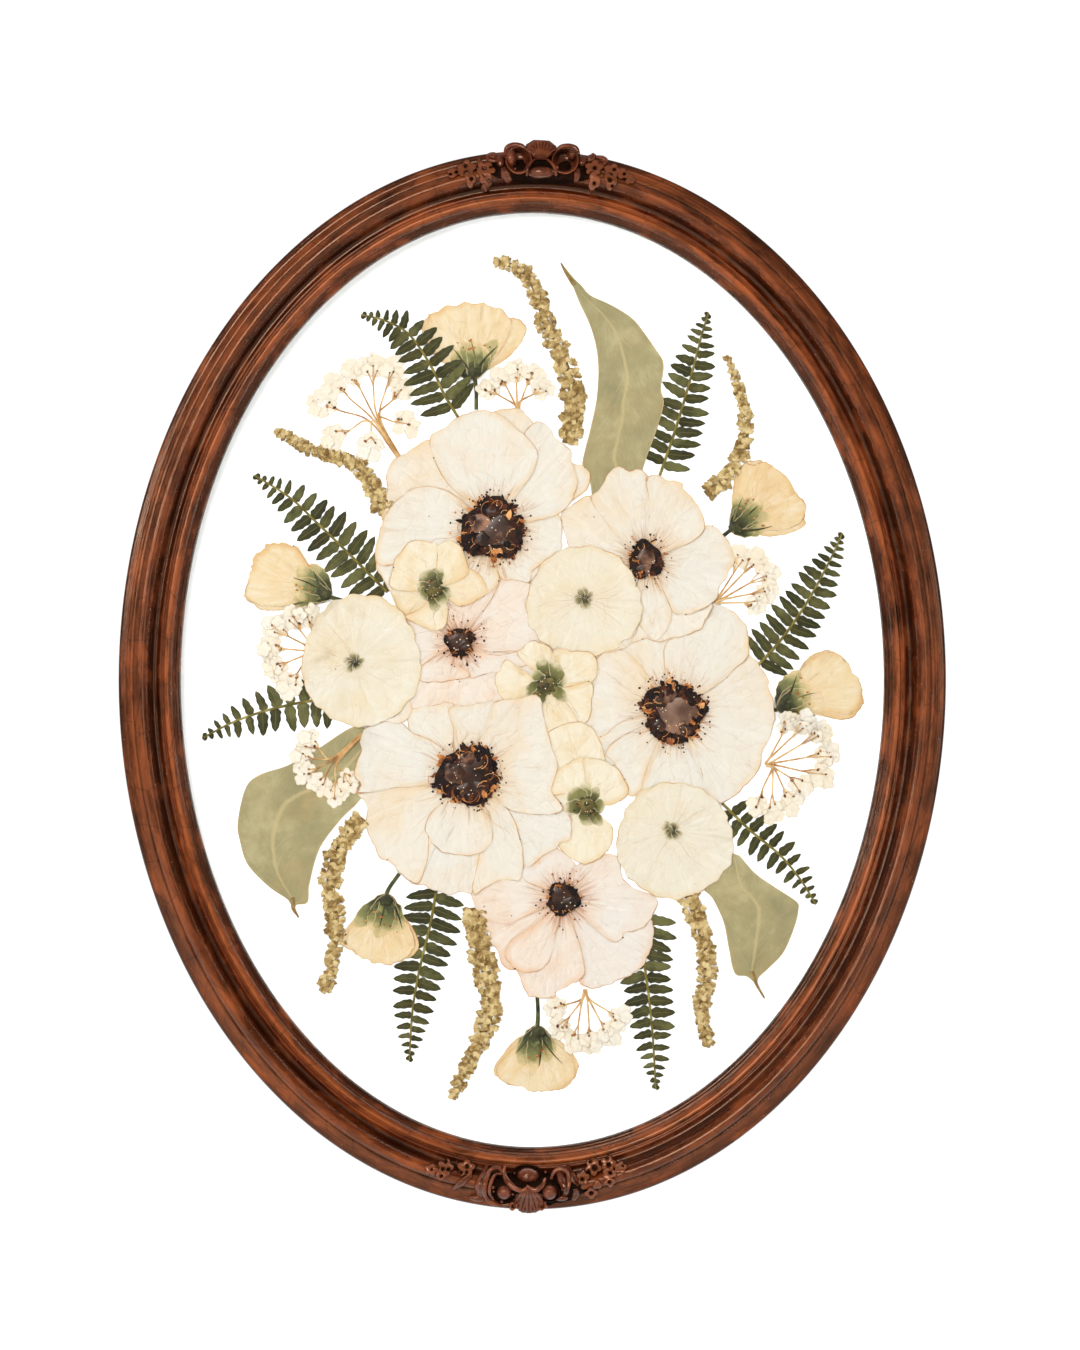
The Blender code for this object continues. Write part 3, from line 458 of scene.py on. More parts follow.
def petal_look(name, cool, cream, patch, crease_and_shade, stain, veins=0.3):
    """Dried petal. first: distance from the edge in mm, share of the way out, place across in cm.
    second: warmth, stain near the heart, a number that differs from petal to petal."""
    look = Look(name, cream, 0.66)
    edge, along, across = look.triple("first")
    warm, dirt, seed = look.triple("second")
    place = look.place()
    wander = look.add("ShaderNodeTexNoise", {"Vector": place, "Scale": 90.0, "Detail": 2.0})
    offset = look.add("ShaderNodeVectorMath", {0: wander.outputs["Color"], 1: PETAL_WANDER},
                      operation="MULTIPLY").outputs[0]
    bent = look.add("ShaderNodeVectorMath", {0: place, 1: offset}, operation="ADD").outputs[0]
    cloud = look.noise(place, 62.0, 4.0, 0.6)
    warmth = look.plus(look.fade(warm, 0.0, 1.0, 0.05, 0.75),
                       look.fade(cloud, 0.3, 0.7, -0.32, 0.32), clamp=True)
    colour = look.mix(warmth, cool, cream)
    blotch = look.fade(look.noise(bent, 34.0, 4.0, 0.62, 0.4), 0.48, 0.72)
    colour = look.mix(look.times(blotch, look.fade(warm, 0.0, 1.0, 0.25, 0.85)), colour, patch)
    rays = look.noise(look.join(look.times(across, 3.2), look.times(along, 2.4), seed),
                      1.0, 4.0, 0.62, 0.8)
    # Paler on the ridges and darker in the troughs of the ripples that also raise the bump: partly
    # vein colour, partly painted highlight and shade.
    colour = look.mix(look.fade(rays, 0.50, 0.72, 0.0, 0.40), colour, srgb("#FFFAEE", PETAL_SHADE))
    colour = look.mix(look.fade(rays, 0.40, 0.25, 0.0, veins), colour, crease_and_shade)
    thread = look.noise(look.join(look.times(across, 3.4), look.times(along, 2.6), seed),
                        1.0, 3.0, 0.5, 0.9)
    hair = look.fade(look.away(thread, 0.5), 0.003, 0.010, 1.0, 0.0)
    patchy = look.fade(look.noise(place, 120.0, 2.0), 0.44, 0.60)
    inward = look.fade(along, 0.15, 0.75, 1.0, 0.30)
    hair = look.times(look.times(hair, patchy), inward)
    colour = look.mix(look.times(hair, 0.55), colour, crease_and_shade)
    crumple = look.cells(bent, 150.0, feature="DISTANCE_TO_EDGE").outputs["Distance"]
    # Darker along the crumple lines, where the bump dips: partly browned folds, partly painted shade.
    fold = look.times(look.fade(crumple, 0.0, 0.035, 1.0, 0.0), patchy)
    colour = look.mix(look.times(fold, 0.16), colour, crease_and_shade)
    rim_patch = look.fade(look.noise(place, 190.0, 3.0), 0.40, 0.60, 0.10, 1.0)
    rim = look.times(look.fade(edge, 0.10, 0.42, 1.0, 0.0), rim_patch)
    colour = look.mix(look.times(rim, 0.95), colour, crease_and_shade)
    glow_patch = look.fade(look.noise(place, 70.0, 2.0), 0.40, 0.66, 0.05, 0.85)
    glow = look.times(look.fade(edge, 0.3, 2.8, 1.0, 0.0), glow_patch)
    colour = look.mix(glow, colour, patch)
    ragged = look.plus(dirt, look.fade(rays, 0.3, 0.7, -0.34, 0.34))
    ragged = look.times(look.fade(ragged, 0.35, 0.95, 0.0, 0.85),
                        look.fade(dirt, 0.0, 0.12, 0.0, 1.0))
    halo = look.fade(dirt, 0.25, 0.65, 0.0, 0.5)
    colour = look.mix(halo, colour, patch)
    colour = look.mix(ragged, colour, stain)
    specks = look.cells(place, 230.0)
    chosen = look.chosen(specks, "X", 0.955)
    dot = look.times(look.fade(specks.outputs["Distance"], 0.05, 0.09, 1.0, 0.0), chosen)
    colour = look.mix(look.times(dot, 0.8), colour, srgb("#4A2A18"))
    look.colour(colour)
    grain = look.noise(place, 700.0, 3.0, 0.6)
    dents = look.noise(bent, 210.0, 3.0, 0.55)
    facets = look.fade(crumple, 0.0, 0.22)
    height = look.plus(look.times(rays, 0.9),
                       look.plus(look.times(dents, 0.9), look.times(facets, 0.55)))
    height = look.plus(height, look.times(grain, 0.12))
    look.normal(look.bump(height, 0.0008, 0.42))
    return look.material


def dried_petal(name, codes, veins=0.3, factor=PETAL_SHADE):
    return petal_look(name, *tones(codes, factor), veins)


def blotchy(name, dark, mid, light, scale, roughness=0.6, bump=0.0003, **inputs):
    """A plain organic surface whose colour wanders between three tones; second's first number
    shifts it."""
    look = Look(name, mid, roughness, **inputs)
    shift, _, _ = look.triple("second")
    cloud = look.noise(look.place(), scale, 4.0, 0.6)
    tone = look.plus(look.fade(cloud, 0.28, 0.72), look.fade(shift, 0.0, 1.0, -0.4, 0.4),
                     clamp=True)
    look.colour(look.ramp(tone, (0.0, dark), (0.5, mid), (1.0, light)))
    look.normal(look.bump(look.noise(look.place(), scale * 3.0, 3.0), bump, 0.6))
    return look.material


def blade_look(name, dark, mid, light, rib, edge_colour, fleck):
    """Leaf or leaflet. first: distance from the edge in mm, share along, place across -1 to 1."""
    look = Look(name, mid, 0.48)
    edge, along, across = look.triple("first")
    shift, worn, seed = look.triple("second")
    place = look.place()
    cloud = look.noise(place, 95.0, 4.0, 0.6)
    tone = look.plus(look.fade(cloud, 0.3, 0.7), look.fade(shift, 0.0, 1.0, -0.4, 0.4),
                     clamp=True)
    colour = look.ramp(tone, (0.0, dark), (0.55, mid), (1.0, light))
    side = look.math("ABSOLUTE", across)
    veins = look.noise(look.join(look.math("SUBTRACT", look.times(along, 26.0),
                                           look.times(side, 7.0)),
                                 look.times(side, 0.6), seed), 1.0, 2.0, 0.5)
    vein = look.fade(look.away(veins, 0.5), 0.0, 0.035, 1.0, 0.0)
    colour = look.mix(look.times(vein, 0.22), colour, light)
    midrib = look.fade(side, 0.015, 0.075, 1.0, 0.0)
    colour = look.mix(look.times(midrib, 0.75), colour, rib)
    brown = look.times(look.fade(look.noise(place, 60.0, 3.0), 0.50, 0.75), worn)
    colour = look.mix(brown, colour, fleck)
    rim = look.fade(edge, 0.10, 0.55, 1.0, 0.0)
    rim_patch = look.fade(look.noise(place, 120.0, 2.0), 0.35, 0.65, 0.25, 1.0)
    colour = look.mix(look.times(rim, rim_patch), colour, edge_colour)
    look.colour(colour)
    height = look.plus(look.times(vein, -0.4), look.noise(place, 260.0, 3.0))
    look.normal(look.bump(height, 0.0004, 0.6))
    return look.material


CREAM = dried_petal("cream_petal_skin", "#F1E9DC #F7E8D3 #F4D3A6 #C48A52 #B2703A")
PINK = dried_petal("pink_petal_skin", "#F3E9DE #F9E2CC #F3C6A0 #B8794A #AC5E2A")
BUTTER = dried_petal("butter_petal_skin", "#FAF0DC #F8E5C2 #EFC88C #B98A4E #86803C")
BUD = dried_petal("bud_petal_skin", "#F7E2BC #F3D19A #EBBC7C #BA884E #6A6636", 0.5)
DISC = dried_petal("round_petal_skin", "#F1E8D6 #F6E5C8 #EFD3A4 #BC9560 #7A6638", 0.2)
HEART = blotchy("dark_heart", *tones("#1C0C05 #43281A #A0745C"), 110.0, 0.30, 0.0001)
HEART_GREY = blotchy("grey_heart", *tones("#2E1A10 #604434 #8C6C5A"), 110.0, 0.30, 0.0001)
ANTHER = blotchy("anther", *tones("#0A0200 #230B02 #5A2A0C"), 330.0, 0.7)
FILAMENT = blotchy("filament", *tones("#7A3A12 #B46C30 #DDA264"), 300.0, 0.55)
POLLEN = blotchy("pollen", *tones("#D9AE74 #F3DDB0 #FFF6DC"), 500.0, 0.6)
VEIN = blotchy("petal_vein", *tones("#A8713E #CFA271 #E8C9A0"), 200.0, 0.6)
FERN = blade_look("fern_blade", *tones("#2B2A0D #42401C #69663A #777034 #332E0F #5A4A1C"))
RACHIS = blotchy("fern_stalk", *tones("#544A18 #7A6C2E #B0A060"), 260.0)
SAGE = blade_look("sage_blade", *tones("#8E835C #9C9066 #AFA379 #BBA878 #CDAE7A #BC9C66"))
DARK_GREEN = blotchy("dark_calyx", *tones("#26260F #47451F #77713F"), 260.0, 0.5)
BRACT = blotchy("bract", *tones("#745628 #A88B56 #D2BA86"), 330.0, 0.75)
SPIKE_CORE = blotchy("spike_core", *tones("#5E421C #86673A #A68A58"), 300.0, 0.8)
STALK = blotchy("spray_stalk", *tones("#98683A #C4955C #DDBB85"), 260.0, 0.6)
# The fourth tone, drawn along each floret's rim, is painted shade between the overlapping florets as
# well as a browned edge.
FLORET = dried_petal("floret_skin", "#F4ECDE #F6E8D0 #F2E0C4 #D2B48A #D9B98A", 0.25, FLORET_SHADE)
FLORET_DOT = blotchy("floret_dot", *tones("#4E2A12 #80501F #AE7A42"), 400.0, 0.6)


def calyx_look(name, skin, dark, mid, light):
    """Green flesh whose edges bleed into the petals. first: distance from the edge in mm."""
    look = Look(name, mid, 0.55)
    edge, along, _ = look.triple("first")
    shift, _, _ = look.triple("second")
    cloud = look.noise(look.place(), 240.0, 3.0, 0.6)
    tone = look.plus(look.fade(cloud, 0.25, 0.75), look.fade(shift, 0.0, 1.0, -0.4, 0.4),
                     clamp=True)
    green = look.ramp(tone, (0.0, dark), (0.55, mid), (1.0, light))
    near = look.plus(look.fade(along, 0.15, 1.0, 1.0, 0.0),
                     look.fade(cloud, 0.3, 0.7, -0.16, 0.16))
    green = look.mix(look.fade(near, 0.75, 0.30, 0.0, 0.9), green, light)
    bleed = look.times(look.fade(near, 0.0, 0.42), look.fade(edge, 0.0, 0.5, 0.25, 1.0))
    look.colour(look.mix(bleed, skin, green))
    look.normal(look.bump(look.noise(look.place(), 500.0, 3.0), 0.0003, 0.5))
    return look.material


CALYX = calyx_look("bud_calyx", srgb("#EED09A", PETAL_SHADE), srgb("#1C1F0C"), srgb("#3C4020"),
                   srgb("#8E8A52"))
GREEN_HEART = calyx_look("green_heart", srgb("#F4E2BC", PETAL_SHADE), srgb("#221E08"),
                         srgb("#4E4C20"), srgb("#807A46"))
SCAR_SPOT = calyx_look("petal_scar_spot", srgb("#EEDFC0", PETAL_SHADE), srgb("#2C2410"),
                       srgb("#5E5030"), srgb("#A0916A"))
OLIVE = blotchy("olive_disc", *tones("#2E1E08 #5C4E1E #8A8040"), 160.0, 0.45)


# Pressed petals


def petal(shape, base, rim, look, warm=0.5, seed=0, rays=60, rings=12, closed=False, stain=0.0,
          cup=0.16, reach=2.0, wave=0.30, stain_to=12.0):
    """One petal, spread from its base to a rim read off the picture, laid over what is there."""
    base = at(base)
    rim = smooth(places(rim), rays, closed)
    spread = rim - base
    span = np.linalg.norm(spread, axis=1)
    step = np.concatenate([[0], np.cumsum(np.linalg.norm(np.diff(rim, axis=0), axis=1))])
    jitter = ripple(step, np.full(rays, seed * 3.7), seed + 11, 6.0) * wave
    jitter += ripple(step, np.full(rays, seed * 1.9), seed + 17, 2.4) * wave * 0.5
    jitter += ripple(step, np.full(rays, seed * 2.3), seed + 19, 1.5) * wave * 0.25
    if closed:
        fade = np.minimum(1, np.minimum(np.arange(rays), np.arange(rays)[::-1]) / 5)
        jitter = jitter * fade
    rim = rim + spread / (span[:, None] + 1e-6) * jitter[:, None]
    spread = rim - base
    share = np.linspace(0.01, 1, rings) ** 0.85
    spot = base + share[:, None, None] * spread[None]
    x, z = spot[..., 0], spot[..., 1]
    border = rim if closed else np.vstack([
        rim, base + (rim[0] - base) * np.linspace(0.1, 1, 30)[:, None],
        base + (rim[-1] - base) * np.linspace(0.1, 1, 30)[:, None]])
    edge = np.sqrt(((spot[:, :, None] - border[None, None]) ** 2).sum(-1).min(-1))
    turn = step / max(step[-1], 1e-6)
    draw = np.random.default_rng(seed + 5)
    relief = cup * ripple(x, z, seed + 1, 22.0) + 0.05 * ripple(x, z, seed + 2, 7.0)
    relief += 0.022 * ripple(x, z, seed + 3, 3.2)
    for _ in range(11):
        middle = draw.uniform(0.05, 0.95) + draw.uniform(-0.14, 0.14) * share[:, None]
        middle = middle + 0.012 * np.sin(share * draw.uniform(6, 14) + draw.uniform(0, 6))[:, None]
        width = draw.uniform(0.010, 0.026)
        inner, outer = draw.uniform(0.1, 0.45), draw.uniform(0.5, 1.0)
        window = np.clip((share - inner) * 8, 0, 1) * np.clip((outer - share) * 5, 0, 1)
        relief += (draw.uniform(0.08, 0.24) * draw.choice([1, 1, -0.6])
                   * np.exp(-((turn[None] - middle) / width) ** 2) * window[:, None])
    relief += 0.10 * np.exp(-edge / 0.8) * (0.6 + ripple(x, z, seed + 4, 9.0))
    relief -= relief.min()
    height = ground.under(x, z, reach) + LAYER_GAP + PETAL_THICKNESS + relief * 0.8
    height = np.minimum(height, CEILING - 0.15)
    top = np.stack([x, height, z], -1)
    dirt = np.clip(1 - share[:, None] * span[None] / stain_to, 0, 1) * stain
    first = per_point(x, edge, share[:, None], step[None] * 0.1)
    second = per_point(x, warm, dirt, seed * 0.731 % 10)
    shape.add(slab(top, PETAL_THICKNESS, closed), look, first, second)
    ground.press(top)
    return top


def dome(shape, centre, radii, rise, look, seed, lumps=0.25, segments=28, rings=9, tone=0.5):
    """A low rounded mass with an uneven outline, resting on what is there. radii in mm."""
    turn = np.linspace(0, 2 * math.pi, segments, endpoint=False)
    share = np.linspace(0.02, 1, rings)
    reach = 1 + 0.10 * np.sin(3 * turn + seed) + 0.07 * np.sin(5 * turn + 2 * seed)
    x = centre[0] + share[:, None] * (radii[0] * reach * np.cos(turn))[None]
    z = centre[1] + share[:, None] * (radii[1] * reach * np.sin(turn))[None]
    floor = ground.under(x, z, 1.0).max()
    swell = np.sqrt(np.clip(1 - share ** 2, 0, 1))[:, None] * np.ones_like(turn)[None]
    bumps = 1 + lumps * ripple(x, z, seed + 9, max(radii) * 0.9)
    height = floor - 0.1 + rise * swell * bumps
    top = np.stack([x, height, z], -1)
    shape.add(slab(top, 0.35, True), look, second=(tone, 0, 0))
    ground.press(top)
    return floor


def rest_at(place, reach=0.6):
    """The height of what lies at one place, in mm."""
    return float(ground.under(np.array([place[0]]), np.array([place[1]]), reach)[0])


def bead(shape, place, radii, look, tone, sides=7, lift=0.0, tilt=0.0):
    """A small lump resting at a place in mm."""
    middle = (place[0], rest_at(place) + lift, place[1])
    shape.add(ball(middle, radii, sides, 4, tilt), look, second=(tone, 0, 0))


def flake(shape, root, turn, length, half, look, tone, lift):
    """A ragged scale of dried anther, its tip a little raised."""
    way = toward(turn)
    side = np.array((-way[1], way[0]))
    rows = np.linspace(0, 1, 6)
    width = half * np.array((0.5, 0.9, 1.0, 0.85, 0.6, 0.12))
    line = root + rows[:, None] * way * length
    lanes = np.array((-1.0, 0.0, 1.0))
    grid = line[:, None] + side * (width[:, None] * lanes)[..., None]
    height = rest_at(line[3]) + 0.08 + lift * rows[:, None] + 0.12 * (1 - lanes ** 2)[None]
    top = np.stack([grid[..., 0], np.minimum(height, CEILING - 0.25), grid[..., 1]], -1)
    shape.add(slab(top, 0.1), look, second=(tone, 0, 0))


def collar(shape, centre, radius, seed, squash, flakes, clumps, threads, curls, far=1.3):
    """The dark ragged ring around a heart: scales, clumps, fine threads tipped with beads."""
    draw = np.random.default_rng(seed)
    centre = at(centre)

    def spot(turn, out):
        return centre + np.array((math.cos(turn), math.sin(turn) * squash)) * out

    tufts = draw.uniform(0, 2 * math.pi) + np.array((0.0, 1.7, 3.1, 4.6))
    for number in range(flakes):
        tan = number % 4 == 0
        turn = draw.uniform(0, 2 * math.pi)
        if tan:
            turn = tufts[number // 4 % 4] + draw.normal(0, 0.2)
        uneven = 1 + 0.10 * math.sin(3 * turn + seed) + 0.07 * math.sin(7 * turn + 2 * seed)
        root = spot(turn, radius * uneven * draw.uniform(0.58, 0.84))
        length = radius * (draw.uniform(0.18, 0.40) if tan else draw.uniform(0.12, 0.30))
        flake(shape, root, turn + draw.uniform(-0.9, 0.9), length,
              radius * draw.uniform(0.04, 0.10), FILAMENT if tan else ANTHER,
              draw.uniform(0.0, 1.0), draw.uniform(0.05, 0.30))
    for _ in range(clumps):
        place = spot(draw.uniform(0, 2 * math.pi), radius * draw.uniform(0.60, 0.95))
        size = radius * draw.uniform(0.04, 0.13)
        look = ANTHER if draw.uniform() < 0.93 else FILAMENT
        shape.add(ball((place[0], rest_at(place) + 0.15, place[1]),
                       (size, size * 0.6, size * draw.uniform(0.6, 1.0)), 8, 5,
                       draw.uniform(0, 3)), look, second=(draw.uniform(0, 0.8), 0, 0))
    for number in range(threads):
        turn = draw.uniform(0, 2 * math.pi)
        out = radius * draw.uniform(1.02, far)
        end = spot(turn, out)
        height = rest_at(end, 0.4) + 0.08
        if number % 3 == 0:
            start = spot(turn + draw.uniform(-0.12, 0.12), radius * 0.85)
            line = smooth([start, (start + end) / 2 + draw.uniform(-0.3, 0.3, 2), end], 5)
            level = ground.under(line[:, 0], line[:, 1], 0.8) + 0.08
            shape.add(tube(np.stack([line[:, 0], level, line[:, 1]], -1),
                           np.linspace(0.12, 0.07, 5), 4), FILAMENT,
                      second=(draw.uniform(0, 0.6), 0, 0))
        size = draw.uniform(0.26, 0.60)
        shape.add(ball((end[0], height, end[1]), (size, size * 0.5, size * draw.uniform(0.7, 1.2)),
                       7, 4, draw.uniform(0, 3)), ANTHER if number % 4 else FILAMENT,
                  second=(draw.uniform(0, 0.7), 0, 0))
    for _ in range(curls):
        turn = draw.uniform(0, 2 * math.pi)
        place = spot(turn, radius * draw.uniform(0.55, 0.95))
        reach = radius * draw.uniform(0.10, 0.30)
        begin = draw.uniform(0, 6.28)
        bend = np.linspace(begin, begin + draw.uniform(0.8, 2.4), 8)
        line = np.stack([place[0] + reach * np.cos(bend), np.full(8, rest_at(place) + 0.35),
                         place[1] + reach * np.sin(bend)], -1)
        line[:, 1] += 0.15 * np.sin(bend)
        shape.add(tube(line, np.linspace(0.17, 0.10, 8), 5), FILAMENT,
                  second=(draw.uniform(0.3, 1), 0, 0))


def veins(shape, centre, near, far, seed, count, look, thick=0.09, turns=(0, 2 * math.pi)):
    """Fine raised lines that wander outwards over the petals. near and far in mm."""
    draw = np.random.default_rng(seed)
    centre = at(centre)
    for _ in range(count):
        turn = draw.uniform(*turns)
        start, end = near * draw.uniform(0.9, 1.3), far * draw.uniform(0.45, 1.0)
        reach = np.linspace(start, max(end, start + 2), 12)
        share = np.linspace(0, 1, 12)
        bend = turn + draw.uniform(-0.28, 0.28) * share ** 1.5 + 0.02 * np.sin(share * 9)
        line = centre + reach[:, None] * np.stack([np.cos(bend), np.sin(bend)], -1)
        level = ground.under(line[:, 0], line[:, 1], 0.6) + 0.02
        shape.add(tube(np.stack([line[:, 0], level, line[:, 1]], -1),
                       np.linspace(thick, thick * 0.45, 12), 4), look,
                  second=(draw.uniform(0.2, 0.9), 0, 0))


def rim_lines(shape, top, seed, count, look):
    """Thin browned stretches of a petal's rim, some ended by a dark dot."""
    draw = np.random.default_rng(seed)
    rim = top[-1]
    for _ in range(count):
        length = int(draw.integers(7, 16))
        start = int(draw.integers(0, len(rim) - length))
        line = rim[start:start + length] + np.array((0, 0.02, 0))
        shape.add(tube(line, np.sin(np.linspace(0.4, 2.8, length)) * 0.12 + 0.02, 4), look,
                  second=(draw.uniform(0.1, 0.9), 0, 0))
        if draw.uniform() < 0.45:
            size = draw.uniform(0.22, 0.45)
            spot = line[-1]
            radii = (size, size * 0.5, size * 0.8)
            shape.add(ball((spot[0], spot[1] + 0.05, spot[2]), radii, 7, 4),
                      FILAMENT if draw.uniform() < 0.5 else ANTHER,
                      second=(draw.uniform(0.2, 0.8), 0, 0))


def pollen(shape, centre, radius, seed, count):
    draw = np.random.default_rng(seed)
    centre = at(centre)
    for _ in range(count):
        turn = draw.uniform(0, 2 * math.pi)
        place = centre + radius * math.sqrt(draw.uniform(0, 1)) * toward(turn)
        height = float(ground.under(place[:1], place[1:], 0.5)[0]) + 0.05
        size = draw.uniform(0.14, 0.32)
        shape.add(ball((place[0], height, place[1]), (size, size * 0.6, size), 6, 4), POLLEN,
                  second=(draw.uniform(0.3, 1), 0, 0))


